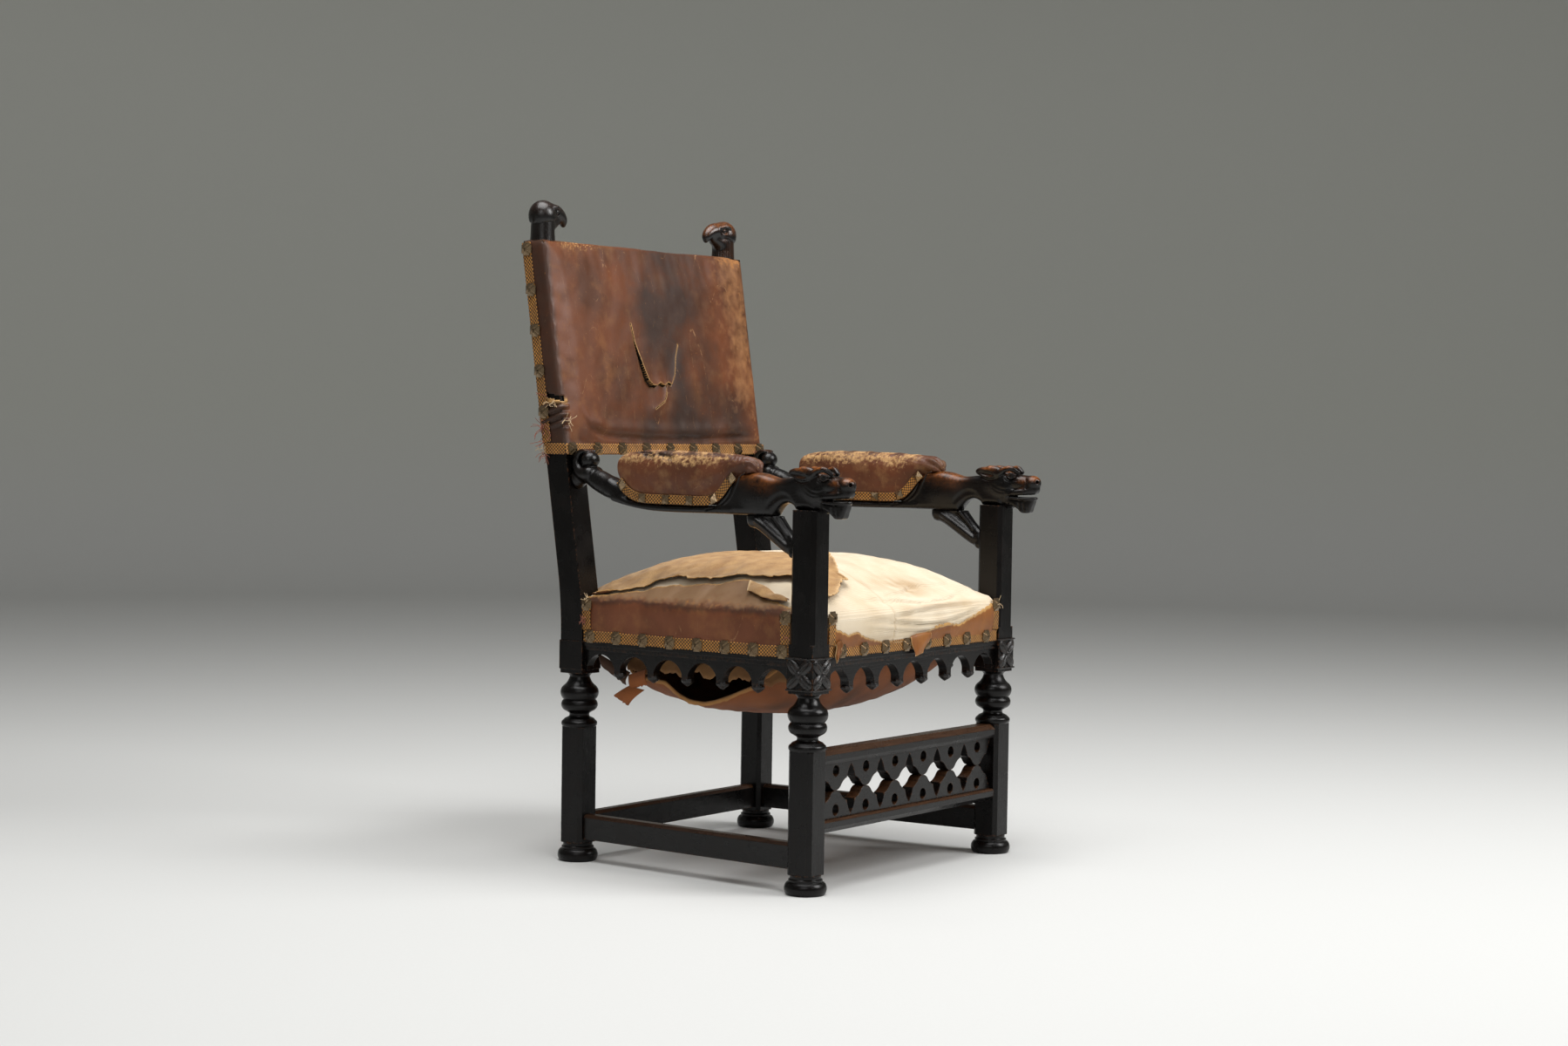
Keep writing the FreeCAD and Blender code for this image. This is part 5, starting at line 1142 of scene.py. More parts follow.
def make_seat_leather(wall, tree):
    """A leather wall: upright over the rail, then torn off along the slope of the seat or down the front."""
    height = surface_of(tree)
    begin, along, inward, length = wall_frame(wall)
    stations = np.linspace(0, length, int(length / 3) + 1)
    edge = np.interp(stations, *zip(*TORN_EDGES[wall]))
    ragged = 1.4 * smooth_noise(stations[:, None], 14, 8) + 0.8 * smooth_noise(stations[:, None], 5, 9)
    edge = edge + ragged
    upright = np.linspace(0, 1, 13)
    slope = np.linspace(0, 1, 17)[1:]
    rows, torn = [], []
    for share in upright:
        top = np.minimum(SEAT_EDGE - 1 + np.minimum(edge, 0), SEAT_EDGE - 1)
        z = LEATHER_FOOT + (top - LEATHER_FOOT) * share
        belly = wall_belly(wall, stations - length / 2, z)
        plan = begin + stations[:, None] * along - inward * belly[:, None]
        rows.append(np.column_stack([plan, z]))
        torn.append((edge < 0) * np.clip(1 - (1 - share) * (top - LEATHER_FOOT) / 3, 0, 1))
    for share in slope:
        inset = np.maximum(edge, 0) * share
        plan = begin + stations[:, None] * along + inward * (inset - 1.4 * (1 - share))[:, None]
        z = np.array([height(px, py) for px, py in plan + inward * 1.2])
        z = np.where(edge > 0, np.maximum(z + 1.6 + 1.2 * share, SEAT_EDGE - 1 + share), rows[-1][:, 2])
        rows.append(np.column_stack([np.where((edge > 0)[:, None], plan, rows[12][:, :2]), z]))
        torn.append(np.where(edge > 0, np.clip(1 - (1 - share) * edge / 3, 0, 1), torn[12]))
    rows = np.array(rows)
    for _ in range(7):
        rows[1:-1] = (rows[:-2] + 2 * rows[1:-1] + rows[2:]) / 4
    rows = keep_outside(rows.reshape(-1, 3), tree, 1.7).reshape(rows.shape)
    panel = cloth_grid(f"seat_hide_{wall}", rows)
    turn_towards(panel, (*-inward, 0))
    points = read_points(panel)
    z = points[:, 2]
    mark(panel, "torn", np.concatenate(torn))
    drift = 4.5 * smooth_noise(points, 75, 13) + 2.4 * smooth_noise(points, 14, 15)
    mark(panel, "faded", np.clip((z + drift - 437) / 13, 0, 1) * 0.85)
    grubby = np.clip(smooth_noise(points, 110, 14), 0, 1)
    mark(panel, "stain", 0.6 * bump_at(z + drift, 438, 6) + 0.2 * grubby)
    mark(panel, "rub", 0.45 * bump_at(z + drift, 445, 8))
    paint(panel, finish["front_leather" if wall == "front" else "seat_leather"], finish["suede"])
    thicken(panel, 1.1, 1)
    return settle(panel, "leather", f"seat_leather_{wall}")


def lay_flap(name, edges, height, lift, seed):
    """A loose leather flap between four plan lines, lying on the seat with its outer edge lifted.

    The lines are the outer edge, the inner edge, the rear end and the front end; the ends run outer to inner.
    """
    lengthwise, crosswise = np.linspace(0, 1, 100), np.linspace(0, 1, 56)

    def along(line, shares):
        line = curve(line, 8)
        spans = lengths_along(line)
        return np.column_stack([np.interp(shares * spans[-1], spans, line[:, k]) for k in (0, 1)])

    outer, inner = (along(line, lengthwise)[None] for line in edges[:2])
    rear, front = (along(line, crosswise)[:, None] for line in edges[2:])
    a, b = lengthwise[None, :, None], crosswise[:, None, None]
    corners = ((1 - a) * (1 - b) * outer[:, :1] + (1 - a) * b * inner[:, :1]
               + a * (1 - b) * outer[:, -1:] + a * b * inner[:, -1:])
    plan = (1 - b) * outer + b * inner + (1 - a) * rear + a * front - corners
    flat = plan.reshape(-1, 2)
    to_edge = np.broadcast_to(b, plan.shape[:2] + (1,)).reshape(-1)
    to_front = 1 - np.broadcast_to(a, plan.shape[:2] + (1,)).reshape(-1)
    rim = np.maximum(np.exp(-to_edge / 0.1), np.exp(-to_front / 0.05))
    rough = 2.2 * smooth_noise(flat, 15, seed) + 1.4 * smooth_noise(flat, 6, seed + 1)
    centre = flat.mean(axis=0)
    outward = (flat - centre) / np.linalg.norm(flat - centre, axis=1, keepdims=True)
    flat = flat + outward * (rough * rim)[:, None]
    rise = 2.6 + lift * rim * (0.7 + 0.4 * smooth_noise(flat, 90, seed + 2))
    rise += 0.8 * smooth_noise(flat, 40, seed + 3)
    z = np.array([height(x, y) for x, y in flat]) + np.maximum(rise, 1.6)
    flap = cloth_grid(name, np.column_stack([flat, z]).reshape(*plan.shape[:2], 3))
    turn_towards(flap, (0, 0, 1))
    mark(flap, "torn", np.maximum(np.exp(-to_edge / 0.012), np.exp(-to_front / 0.008)))
    paint(flap, finish["suede"], finish["seat_leather"])
    thicken(flap, 1.2, 1)
    box = np.ptp(read_points(flap), axis=0)
    return settle(flap, "leather")


def make_curled_edge(height):
    """The front corner of the left leather, folded back on itself beside the post."""
    upper = curve([(-226, -106), (-238, -140), (-252, -172), (-266, -212)], 10)
    lower = curve([(-262, -126), (-272, -152), (-281, -190), (-284, -220)], 10)
    rows, torn = [], []
    for share in np.linspace(0, 1, 15):
        plan = upper + (lower - upper) * share
        rise = 4 + 9 * np.sin(share * 1.9)
        z = np.array([height(x, y) for x, y in plan]) + rise
        rows.append(np.column_stack([plan, z]))
        torn.append(np.maximum(np.linspace(1, 0, len(plan)) > 0.96, share < 0.04).astype(float))
    curl = cloth_grid("curled_hide_edge", rows)
    turn_towards(curl, (0, 0, 1))
    mark(curl, "torn", np.concatenate(torn))
    paint(curl, finish["suede"], finish["seat_leather"])
    thicken(curl, 1.2, 1)
    return settle(curl, "leather")


def make_front_tongue(name, middle, half_top, half_foot, drop, seed):
    """A tongue of the front leather, folded down over the braid."""
    top = 389.0
    rows, torn = [], []
    for step in np.linspace(0, 1, 21):
        half = half_top + (half_foot - half_top) * step + 1.5 * np.sin(step * 7 + seed)
        across = np.linspace(-1, 1, 19)
        x = middle - 9 * step + half * across + 1.2 * smooth_noise(across[:, None] * 30 + step, 9, seed)
        fold = np.clip(step / 0.25, 0, 1)
        y = SEAT_FRONT - 5.0 - 5.5 * np.sin(fold * math.pi / 2) - 1.8 * np.sin(across * 2 + step * 3)
        z = top + 7 * np.sin(np.pi * fold) * (1 - across ** 2 * 0.5) - drop * np.clip(step - 0.1, 0, 1) / 0.9
        rows.append(np.column_stack([x, y, z + 2 * across]))
        torn.append(np.maximum(np.abs(across) > 0.95, step > 0.97).astype(float))
    tongue = cloth_grid(name, rows)
    turn_towards(tongue, (0, -1, 0))
    mark(tongue, "torn", np.concatenate(torn))
    paint(tongue, finish["front_leather"], finish["suede"])
    thicken(tongue, 1.1, 1)
    return settle(tongue, "leather")


def make_seat():
    """The stuffed seat with its leather walls, loose flaps, curled corner and tongues."""
    seat = make_calico_seat()
    tree = BVHTree.FromObject(seat, bpy.context.evaluated_depsgraph_get())
    height = surface_of(tree)
    for wall in TORN_EDGES:
        make_seat_leather(wall, tree)
    lay_flap("top_hide_left", (
        [(-264, 180), (-262, 140), (-256, 111), (-243, 80), (-235, 45), (-234, 4), (-233, -29), (-225, -51),
         (-222, -90), (-225, -132), (-221, -156), (-210, -180), (-207, -216), (-219, -254)],
        [(-225, 226), (-150, 205), (-96, 150), (-52, 80), (-30, 20), (-22, -40), (-28, -90), (-46, -133)],
        [(-264, 180), (-248, 208), (-225, 226)],
        [(-219, -254), (-199, -253), (-150, -232), (-127, -229), (-112, -202), (-80, -169), (-46, -133)],
    ), height, 12.0, 21)
    lay_flap("top_hide_right", (
        [(232, 190), (238, 120), (231, 60), (240, 0), (230, -70), (238, -120)],
        [(190, 200), (196, 140), (182, 60), (205, 0), (196, -60), (226, -118)],
        [(232, 190), (214, 196), (190, 200)],
        [(238, -120), (232, -130), (226, -118)],
    ), height, 3.0, 31)
    lay_flap("top_hide_back", (
        [(-196, 204), (-100, 190), (20, 172), (120, 194), (196, 204)],
        [(-196, 229), (-100, 229), (20, 229), (120, 229), (196, 229)],
        [(-196, 204), (-197, 218), (-196, 229)],
        [(196, 204), (197, 218), (196, 229)],
    ), height, 3.0, 41)
    make_curled_edge(height)
    make_front_tongue("front_hide_tongue", 6.0, 31.0, 15.0, 29.0, 12)
    make_front_tongue("front_hide_curl", -230.0, 9.0, 6.0, 26.0, 16)


# Back: leather drawn over the frame, stained, scratched and torn

BACK_HALF = 279.0
BACK_FOOT, BACK_TOP = 678.0, 1036.3
BACK_ROUND = 10.0
# Lines on the front of the back, as (x, z)
TEAR = [(-82, 902), (-76, 870), (-65, 833), (-56, 806), (-46, 797), (-33, 796), (-22, 802), (-10, 797),
        (4, 803), (14, 799), (25, 817), (33, 848), (44, 870)]
SECOND_TEAR = [(2, 798), (-4, 780), (-10, 770), (-38, 757)]
BOTTOM_CREASE = [(-228, 742), (-212, 722), (-170, 711), (-44, 706), (100, 708), (246, 713)]
STAINS = [((25, 945), (90, 45), 0.8), ((-5, 890), (110, 90), 0.5), ((60, 1020), (160, 40), 0.6),
          ((40, 790), (120, 80), 0.45), ((0, 722), (210, 36), 0.62), ((190, 740), (90, 70), 0.3)]


def back_front(z):
    """Depth of the frame's front line at a height."""
    return 201.06 + (z - 419) * 0.1528


def back_rear(z):
    """Depth of the frame's rear line at a height."""
    return 255.06 + (z - 485) * 0.153


def make_back_leather():
    """Leather over the front, sides and top of the back; it is open behind and below."""
    block = Carving((225, -286, 668), (352, 286, 1044), 5.0)
    y, x, z = block.u, block.v, block.z
    crown = 7 * (1 - (x / BACK_HALF) ** 2) * (1 - ((z - 857) / 180) ** 2)
    walls = [back_front(z) - 3.5 - crown - y, x - BACK_HALF + 0 * y * z, z - BACK_TOP + 0 * x * y]
    squares = sum(np.maximum(gap + BACK_ROUND, 0) ** 2 for gap in walls)
    inner = np.minimum(np.maximum.reduce([gap + BACK_ROUND for gap in walls]), 0)
    shell = np.sqrt(squares) + inner - BACK_ROUND
    block.field = np.maximum.reduce([shell, y - back_rear(z) + 0 * x, BACK_FOOT - 1 - z + 0 * x * y])
    points, quads = block.mesh()
    hide = solid("back_hide", points[:, [1, 0, 2]] * MM, quads[:, ::-1])
    centres, normals = face_places(hide)
    behind = (normals[:, 1] > 0.8) & (centres[:, 1] > back_rear(centres[:, 2]) - 5)
    below = (normals[:, 2] < -0.7) & (centres[:, 2] < BACK_FOOT + 5)
    drop_faces(hide, behind | below)
    points = read_points(hide)
    edges = (points[:, 2] < BACK_FOOT + 8) | (points[:, 1] > back_rear(points[:, 2]) - 8)
    edges |= np.abs(points[:, 0]) > BACK_HALF - 3
    edges |= points[:, 2] > BACK_TOP - 3
    swell(hide, edges, 0.8, 0.001, 3)
    refine(hide)
    split_near(hide, [TEAR, SECOND_TEAR], 16)
    shape_back(hide)
    paint(hide, finish["leather"], finish["suede"])
    thicken(hide, 1.0, 1)
    return settle(hide, "leather", "back_leather")


def split_near(piece, lines, reach):
    """Divides the front faces that lie within reach of some lines on the back."""
    centres, normals = face_places(piece)
    near = np.min([to_line(centres[:, [0, 2]], line)[0] for line in lines], axis=0) < reach
    chosen = np.flatnonzero(near & (normals[:, 1] < -0.5))
    work = bmesh.new()
    work.from_mesh(piece.data)
    work.faces.ensure_lookup_table()
    edges = {edge for i in chosen for edge in work.faces[i].edges}
    bmesh.ops.subdivide_edges(work, edges=list(edges), cuts=1, use_grid_fill=True)
    work.to_mesh(piece.data)
    work.free()
    piece.data.shade_smooth()


def shape_back(hide):
    """Presses in the crease and the bunched corner, opens the tears and marks stains, wear and the painted
    shade of the left side.
    """
    points, normals = read_points(hide), read_normals(hide)
    flat = points[:, [0, 2]]
    front = normals[:, 1] < -0.5
    lift = 0.9 * smooth_noise(points, 160, 50) + 0.35 * smooth_noise(points, 50, 51)
    crease = np.interp(points[:, 0], *zip(*BOTTOM_CREASE))
    above = points[:, 2] - crease
    strength = np.clip((points[:, 0] + 232) / 40, 0, 1) * np.clip((262 - points[:, 0]) / 60, 0, 1)
    lift += strength * (3.2 * bump_at(above, 13, 11) - 4.2 * bump_at(above, -2, 5)) * front
    tear_gap, _ = to_line(flat, TEAR)
    second_gap, _ = to_line(flat, SECOND_TEAR)
    in_flap = inside_of(flat, TEAR) & front
    hinge = np.clip((895 - points[:, 2] + 0.25 * points[:, 0]) / 90, 0, 1)
    leftward = np.clip((20 - points[:, 0]) / 70, 0.25, 1)
    lift += in_flap * hinge * leftward * (3.2 + 6.5 * np.exp(-tear_gap / 9))
    lift -= ~in_flap * front * hinge * 2.2 * np.exp(-tear_gap / 10)
    lift += front * 2.5 * np.exp(-second_gap / 7) * (points[:, 0] < 0)
    side_patch = (points[:, 0] < -262) * np.clip((768 - points[:, 2]) / 4, 0, 1)
    side_patch *= np.clip((points[:, 2] - 718) / 10, 0, 1)
    wave = np.sin((points[:, 2] + 0.35 * (points[:, 1] - 255)) / 2.1) + 0.4
    lift += side_patch * 3.2 * wave
    moved = points + normals * (lift * np.clip((points[:, 2] - 690) / 12, 0, 1))[:, None]
    write_points(hide, moved)
    centres, _ = face_places(hide)
    places = centres[:, [0, 2]]
    gap, along = to_line(places, TEAR)
    wide = 1.1 + 1.9 * bump_at(along, 70, 45) + 1.6 * bump_at(along, 140, 22)
    facing = centres[:, 1] < back_front(centres[:, 2]) + 6
    open_tear = (gap < wide) & facing & (~inside_of(places, TEAR) | (gap < 0.8))
    second, _ = to_line(places, SECOND_TEAR)
    open_tear |= (second < 1.0) & facing
    slit = np.abs(centres[:, 2] - 772 - 0.2 * (centres[:, 1] - 260)) < 4
    hole = (centres[:, 0] < -268) & slit & (centres[:, 1] < 282)
    drop_faces(hide, open_tear | hole)
    points = read_points(hide)
    flat = points[:, [0, 2]]
    tear_gap = np.minimum(to_line(flat, TEAR)[0], to_line(flat, SECOND_TEAR)[0] + 0.6)
    corner = (points[:, 0] < -262) & (points[:, 2] < 780)
    near_hole = bump_at(points[:, 2], 767, 4) * corner
    cracks = (np.abs(smooth_noise(points, 9, 53)) < 0.09) * bump_at(points[:, 2], 1032, 7)
    cracks *= bump_at(points[:, 0], -190, 45)
    facing = points[:, 1] < back_front(points[:, 2]) + 9
    frayed = np.maximum(bump_at(tear_gap, 0, 1.9) * facing, 0.9 * near_hole)
    mark(hide, "torn", np.clip(frayed + cracks, 0, 1))
    stain = sum(s * bump_at(flat[:, 0], c[0], r[0]) * bump_at(flat[:, 1], c[1], r[1]) for c, r, s in STAINS)
    stain = stain * (1 + 0.35 * smooth_noise(points, 110, 52))
    # Painted shade: the left side strip is darkened on that side only, as it faces away from the light.
    stain += 0.75 * np.clip((np.abs(points[:, 0]) - 262) / 12, 0, 1) * (points[:, 0] < 0)
    mark(hide, "stain", np.clip(stain, 0, 1))
    x, z = points[:, 0], points[:, 2]
    rub = 0.4 * bump_at(x, 258, 24) + 0.2 * bump_at(x, -225, 60) * bump_at(z, 800, 70)
    rub += 0.6 * bump_at(z, 1030, 12) * (bump_at(x, -205, 45) + bump_at(x, 225, 50))
    mark(hide, "rub", np.clip(rub, 0, 1))
    mark(hide, "faded", 0.45 * bump_at(x, 238, 50) * np.clip((z - 720) / 80, 0, 1))


def make_back_wadding():
    """The stuffing behind the leather, seen dark through the tears."""
    block = Carving((225, -232, 676), (325, 232, 1036), 8.0)
    y, x, z = block.u, block.v, block.z
    crown = 6 * (1 - (x / BACK_HALF) ** 2) * (1 - ((z - 857) / 180) ** 2)
    block.field = np.maximum.reduce([
        back_front(z) + 3 - crown - y, x - 228 + 0 * y * z, z - 1030 + 0 * x * y, 682 - z + 0 * x * y,
        y - back_front(z) - 16 + 0 * x,
    ])
    points, quads = block.mesh()
    wadding = solid("back_wadding", points[:, [1, 0, 2]] * MM, quads[:, ::-1])
    refine(wadding)
    places = read_points(wadding)
    write_points(wadding, places + read_normals(wadding) * (1.2 * smooth_noise(places, 25, 55))[:, None])
    paint(wadding, finish["horsehair"])
    return settle(wadding, "stuffing", "back_stuffing")


def make_rear_cover():
    """Hessian over the open rear of the back, slack between its tacks."""
    half, low, high = 273.0, BACK_FOOT + 2, BACK_TOP - 5
    rows = []
    for z in np.linspace(low, high, 60):
        x = np.linspace(-half, half, 90)
        plan = np.column_stack([x, np.full_like(x, z)])
        slack = np.clip((half - np.abs(x)) / 40, 0, 1) * np.clip(min(z - low, high - z) / 40, 0, 1)
        y = back_rear(z) + 2.4 + slack * (1.2 + 1.1 * smooth_noise(plan, 130, 57))
        rows.append(np.column_stack([x, y, np.full_like(x, z)]))
    cover = cloth_grid("rear_hessian", rows)
    turn_towards(cover, (0, 1, 0))
    points = read_points(cover)
    mark(cover, "stain", np.clip(0.3 * smooth_noise(points, 90, 58), 0, 0.5))
    paint(cover, finish["hessian"])
    thicken(cover, 0.9)
    settle(cover, "base_cloth", "back_rear_cover")
    tacks = []
    for x in np.linspace(-half + 6, half - 6, 20):
        tacks += [(x, low + 6), (x, high - 6)]
    for z in np.linspace(low + 30, high - 30, 11):
        tacks += [(-half + 6, z), (half - 6, z)]
    places = [((x, back_rear(z) + 2.6, z), (0, 1, -0.15), UPWARD) for x, z in tacks]
    make_nails("rear_tacks", places, side=6.0, height=1.6)


# Arm pads: stuffed leather, rubbed to suede on top, edged with braid

PAD_OUTLINE = [(388, 638), (396, 653), (393, 671), (376, 682), (340, 686.5), (262, 687), (180, 686),
               (138, 683), (115, 678), (105, 667), (111, 656), (132, 655), (146, 646), (158, 625),
               (174, 609), (200, 603.5), (310, 603.5), (340, 605.5), (364, 616)]
PAD_BRAID = [(382, 637), (368, 623), (348, 613), (322, 609.5), (262, 609), (202, 609), (180, 613), (164, 624),
             (152, 638), (138, 651)]
# Cracks across the top of a pad, as lines of (u, v)
PAD_CRACKS = [[(352, 8), (338, 13), (318, 14)], [(306, 15), (288, 18), (270, 20)],
              [(362, -4), (340, -2)], [(332, 17), (312, 19)]]


def carve_pad():
    """One stuffed pad in the arm's own frame, with a fuller middle."""
    pad = Carving((94, -30, 592), (408, 30, 698), 4.0)
    outline = curve([*PAD_OUTLINE, PAD_OUTLINE[0]], 4)[:-1]
    pad.join(board(outline, lambda u: 20.5 + 0 * u, 14), 1)
    pad.join(ellipsoid((248, 0, 654), (138, 22.5, 27)), 8)
    return pad.mesh()


def make_arm_pads():
    """Both pads: swollen, puckered at their front ends, cracked and rubbed to suede on top."""
    points, quads = carve_pad()
    for number, (name, side) in enumerate(SIDES.items()):
        pad = solid(f"arm_pad_hide_{name}", points * MM, quads)
        swell(pad, read_points(pad)[:, 2] < 618, 2.5, 0.004, 4)
        refine(pad)
        refine(pad)
        at, out = read_points(pad), read_normals(pad)
        u, v, z = at.T
        top = np.clip((z - 660) / 14, 0, 1)
        ends = np.clip((140 - u) / 24, 0, 1)
        lift = 0.7 * smooth_noise(at, 45, 60 + number) + 0.45 * top * smooth_noise(at, 9, 62 + number)
        lift += ends * 1.7 * np.sin(np.arctan2(z - 655, v) * 9 + u / 9) * np.clip((u - 104) / 6, 0, 1)
        cracks = np.zeros(len(at))
        for crack in PAD_CRACKS:
            gap, _ = to_line(at[:, :2], crack)
            cracks = np.maximum(cracks, bump_at(gap, 0, 2.4) * (z > 664))
        lift -= 2.8 * cracks
        moved = at + out * lift[:, None]
        write_points(pad, from_arm(moved, side) / MM)
        if side > 0:
            pad.data.flip_normals()
        drift = 5 * smooth_noise(at, 50, 64 + number) + 2.5 * smooth_noise(at, 14, 66 + number)
        fuzzy = 0.75 * np.clip((z + drift - 652) / 24, 0, 1) * np.clip((u - 130) / 30, 0.2, 1)
        crest = np.clip((z - 678) / 6, 0, 1) * np.clip(0.8 + smooth_noise(at, 60, 68), 0, 1)
        mark(pad, "rub", np.clip(fuzzy * (1 - 0.75 * crest), 0, 1))
        low = np.clip((632 - z) / 20, 0, 1)
        mark(pad, "stain", np.clip(0.75 * crest + 1.5 * cracks + 0.45 * ends + 0.25 * low, 0, 1))
        paint(pad, finish["pad_leather"])
        settle(pad, "leather", f"arm_pad_{name}")


# Braid: strips of woven gimp with raised knots

def ribbon(name, runs):
    """Woven strips in one piece. Each run is (centre points, outward normals, width), all in mm."""
    verts, faces, along_values, across_values = [], [], [], []
    columns = 9
    for centres, outward, width in runs:
        centres, outward = np.asarray(centres, float), np.asarray(outward, float)
        spans = lengths_along(centres)
        places = np.arange(0, spans[-1], 2.4)
        middle = np.column_stack([np.interp(places, spans, centres[:, k]) for k in range(3)])
        facing = np.column_stack([np.interp(places, spans, outward[:, k]) for k in range(3)])
        facing /= np.linalg.norm(facing, axis=1, keepdims=True)
        ahead = np.gradient(middle, axis=0)
        ahead /= np.linalg.norm(ahead, axis=1, keepdims=True)
        sideways = np.cross(ahead, facing)
        first = len(verts)
        for number, (point, normal, cross) in enumerate(zip(middle, facing, sideways)):
            for column in range(columns):
                share = column / (columns - 1) * 2 - 1
                knot = 0.45 if (number + column) % 2 else 0.0
                cord = 0.5 if abs(share) > 0.7 else 0.0
                fray = 0.35 * math.sin(number * 2.3 + column * 1.7)
                height = 0.35 + knot + cord
                verts.append(point + cross * (share * width / 2 + fray * (abs(share) == 1)) + normal * height)
                along_values.append(places[number])
                across_values.append(share * width / 2)
        for i in range(len(middle) - 1):
            for j in range(columns - 1):
                a = first + i * columns + j
                faces.append((a, a + 1, a + columns + 1, a + columns))
    strip = solid(name, np.array(verts) * MM, faces)
    mark(strip, "along", along_values)
    mark(strip, "across", across_values)
    paint(strip, finish["braid"])
    thicken(strip, 0.9)
    total = sum(np.linalg.norm(np.diff(np.asarray(r[0], float), axis=0), axis=1).sum() for r in runs)
    return strip


BRAID_WIDTH = 18.0
BRAID_FOOT = 369.0


def make_seat_braid():
    """Braid along the foot of each seat wall and up its two ends."""
    runs = []
    for wall in TORN_EDGES:
        begin, along, inward, length = wall_frame(wall)
        out = np.array([*-inward, 0.0])
        shares = np.linspace(0, 1, 40)
        z = BRAID_FOOT + BRAID_WIDTH / 2
        foot = [[*(begin + along * length * s - inward * 2.3), z + 0.4 * math.sin(s * 31)] for s in shares]
        runs.append((foot, [out] * len(foot), BRAID_WIDTH))
        for place in (BRAID_WIDTH / 2, length - BRAID_WIDTH / 2):
            heights = np.linspace(BRAID_FOOT + BRAID_WIDTH + 1, 440.0, 12)
            stand = wall_belly(wall, place - length / 2, heights) + 1.3
            rising = [[*(begin + along * place - inward * far), up] for far, up in zip(stand, heights)]
            runs.append((rising, [out] * len(rising), BRAID_WIDTH))
    strip = ribbon("seat_gimp", runs)
    settle(strip, "braid", "seat_braid")


def make_back_braid():
    """Braid along the foot of the back and up its two sides."""
    z = BACK_FOOT + BRAID_WIDTH / 2
    x = np.linspace(-BACK_HALF - 1, BACK_HALF + 1, 60)
    foot = [(px, back_front(z) - 4.4 - 0.8 * (1 - (px / BACK_HALF) ** 2), z) for px in x]
    runs = [(foot, [(0, -1, 0.15)] * len(foot), BRAID_WIDTH)]
    for side in SIDES.values():
        face = side * (BACK_HALF + 0.6)
        y = np.linspace(back_front(z) - 3, back_rear(z) - 1, 12)
        runs.append(([(face, py, z) for py in y], [(side, 0, 0)] * 12, BRAID_WIDTH))
        heights = np.linspace(BACK_FOOT + BRAID_WIDTH + 1, BACK_TOP - 3, 50)
        rising = [(face, back_rear(h) - BRAID_WIDTH / 2, h) for h in heights]
        runs.append((rising, [(side, 0, 0)] * len(rising), BRAID_WIDTH))
    strip = ribbon("back_gimp", runs)
    settle(strip, "braid", "back_braid")


def pyramid(centre, outward, up, side, height):
    """Points and faces of one square nail head."""
    outward = outward / np.linalg.norm(outward)
    across = np.cross(up, outward)
    across /= np.linalg.norm(across)
    up = np.cross(outward, across)
    half = side / 2
    ring = [(-1, -1), (1, -1), (1, 1), (-1, 1)]
    foot = [centre + half * (a * across + b * up) for a, b in ring]
    belt = [centre + half * (a * across + b * up) * 0.97 + outward * 1.0 for a, b in ring]
    point = [centre + half * (a * across + b * up) * 0.08 + outward * height for a, b in ring]
    faces = [(3, 2, 1, 0), (8, 9, 10, 11)]
    for level in (0, 4):
        faces += [(level + k, level + (k + 1) % 4, level + 4 + (k + 1) % 4, level + 4 + k) for k in range(4)]
    return foot + belt + point, faces


NAIL_SIDE, NAIL_HEIGHT = 14.5, 6.0


def make_nails(name, places, *stands_for, side=NAIL_SIDE, height=NAIL_HEIGHT):
    """Square nail heads in one piece; each place is (foot, outward, up) in mm."""
    verts, faces = [], []
    for foot, outward, up in places:
        points, sides = pyramid(np.asarray(foot, float), np.asarray(outward, float), up, side, height)
        faces += [tuple(k + len(verts) for k in face) for face in sides]
        verts += points
    nails = solid(name, np.array(verts) * MM, faces, smooth=False)
    paint(nails, finish["brass"])
    return settle(nails, "brass_studs", *stands_for)


def stud_centres(node):
    """Centres of the separate studs in a piece of the frame, in mm."""
    work = bmesh.new()
    work.from_mesh(nodes[node].data)
    work.transform(nodes[node].matrix_world)
    left, centres = set(work.verts), []
    while left:
        island, front = set(), [left.pop()]
        while front:
            vert = front.pop()
            island.add(vert)
            near = {edge.other_vert(vert) for edge in vert.link_edges} & left
            left -= near
            front += near
        corners = np.array([vert.co for vert in island]) / MM
        centres.append((corners.min(0) + corners.max(0)) / 2)
    work.free()
    return centres


UPWARD = np.array([0, 0, 1.0])


def make_seat_nails():
    """Nail heads at the frame's seat studs, standing on the leather."""
    places = []
    for centre in stud_centres("seat_studs"):
        for wall in TORN_EDGES:
            begin, along, inward, length = wall_frame(wall)
            offset = centre[:2] - begin
            if abs(offset @ -inward - 6) < 5 and -2 < offset @ along < length + 2:
                place = offset @ along
                stand = wall_belly(wall, place - length / 2, centre[2]) + 2.2
                plan = begin + along * place - inward * stand
                places.append(((*plan, centre[2]), (*-inward, 0), UPWARD))
    make_nails("seat_nails", places, "seat_studs")


def make_back_nails():
    """Nail heads at the frame's back studs, on the front and the two sides."""
    places = []
    for x, y, z in stud_centres("back_studs"):
        if abs(x) < BACK_HALF - 4 and y < back_front(z) + 4:
            places.append(((x, back_front(z) - 6.2, z), (0, -1, 0.15), UPWARD))
        else:
            side = math.copysign(1, x)
            places.append(((side * (BACK_HALF + 1.6), y, z), (side, 0, 0), UPWARD))
    make_nails("back_nails", places, "back_studs")


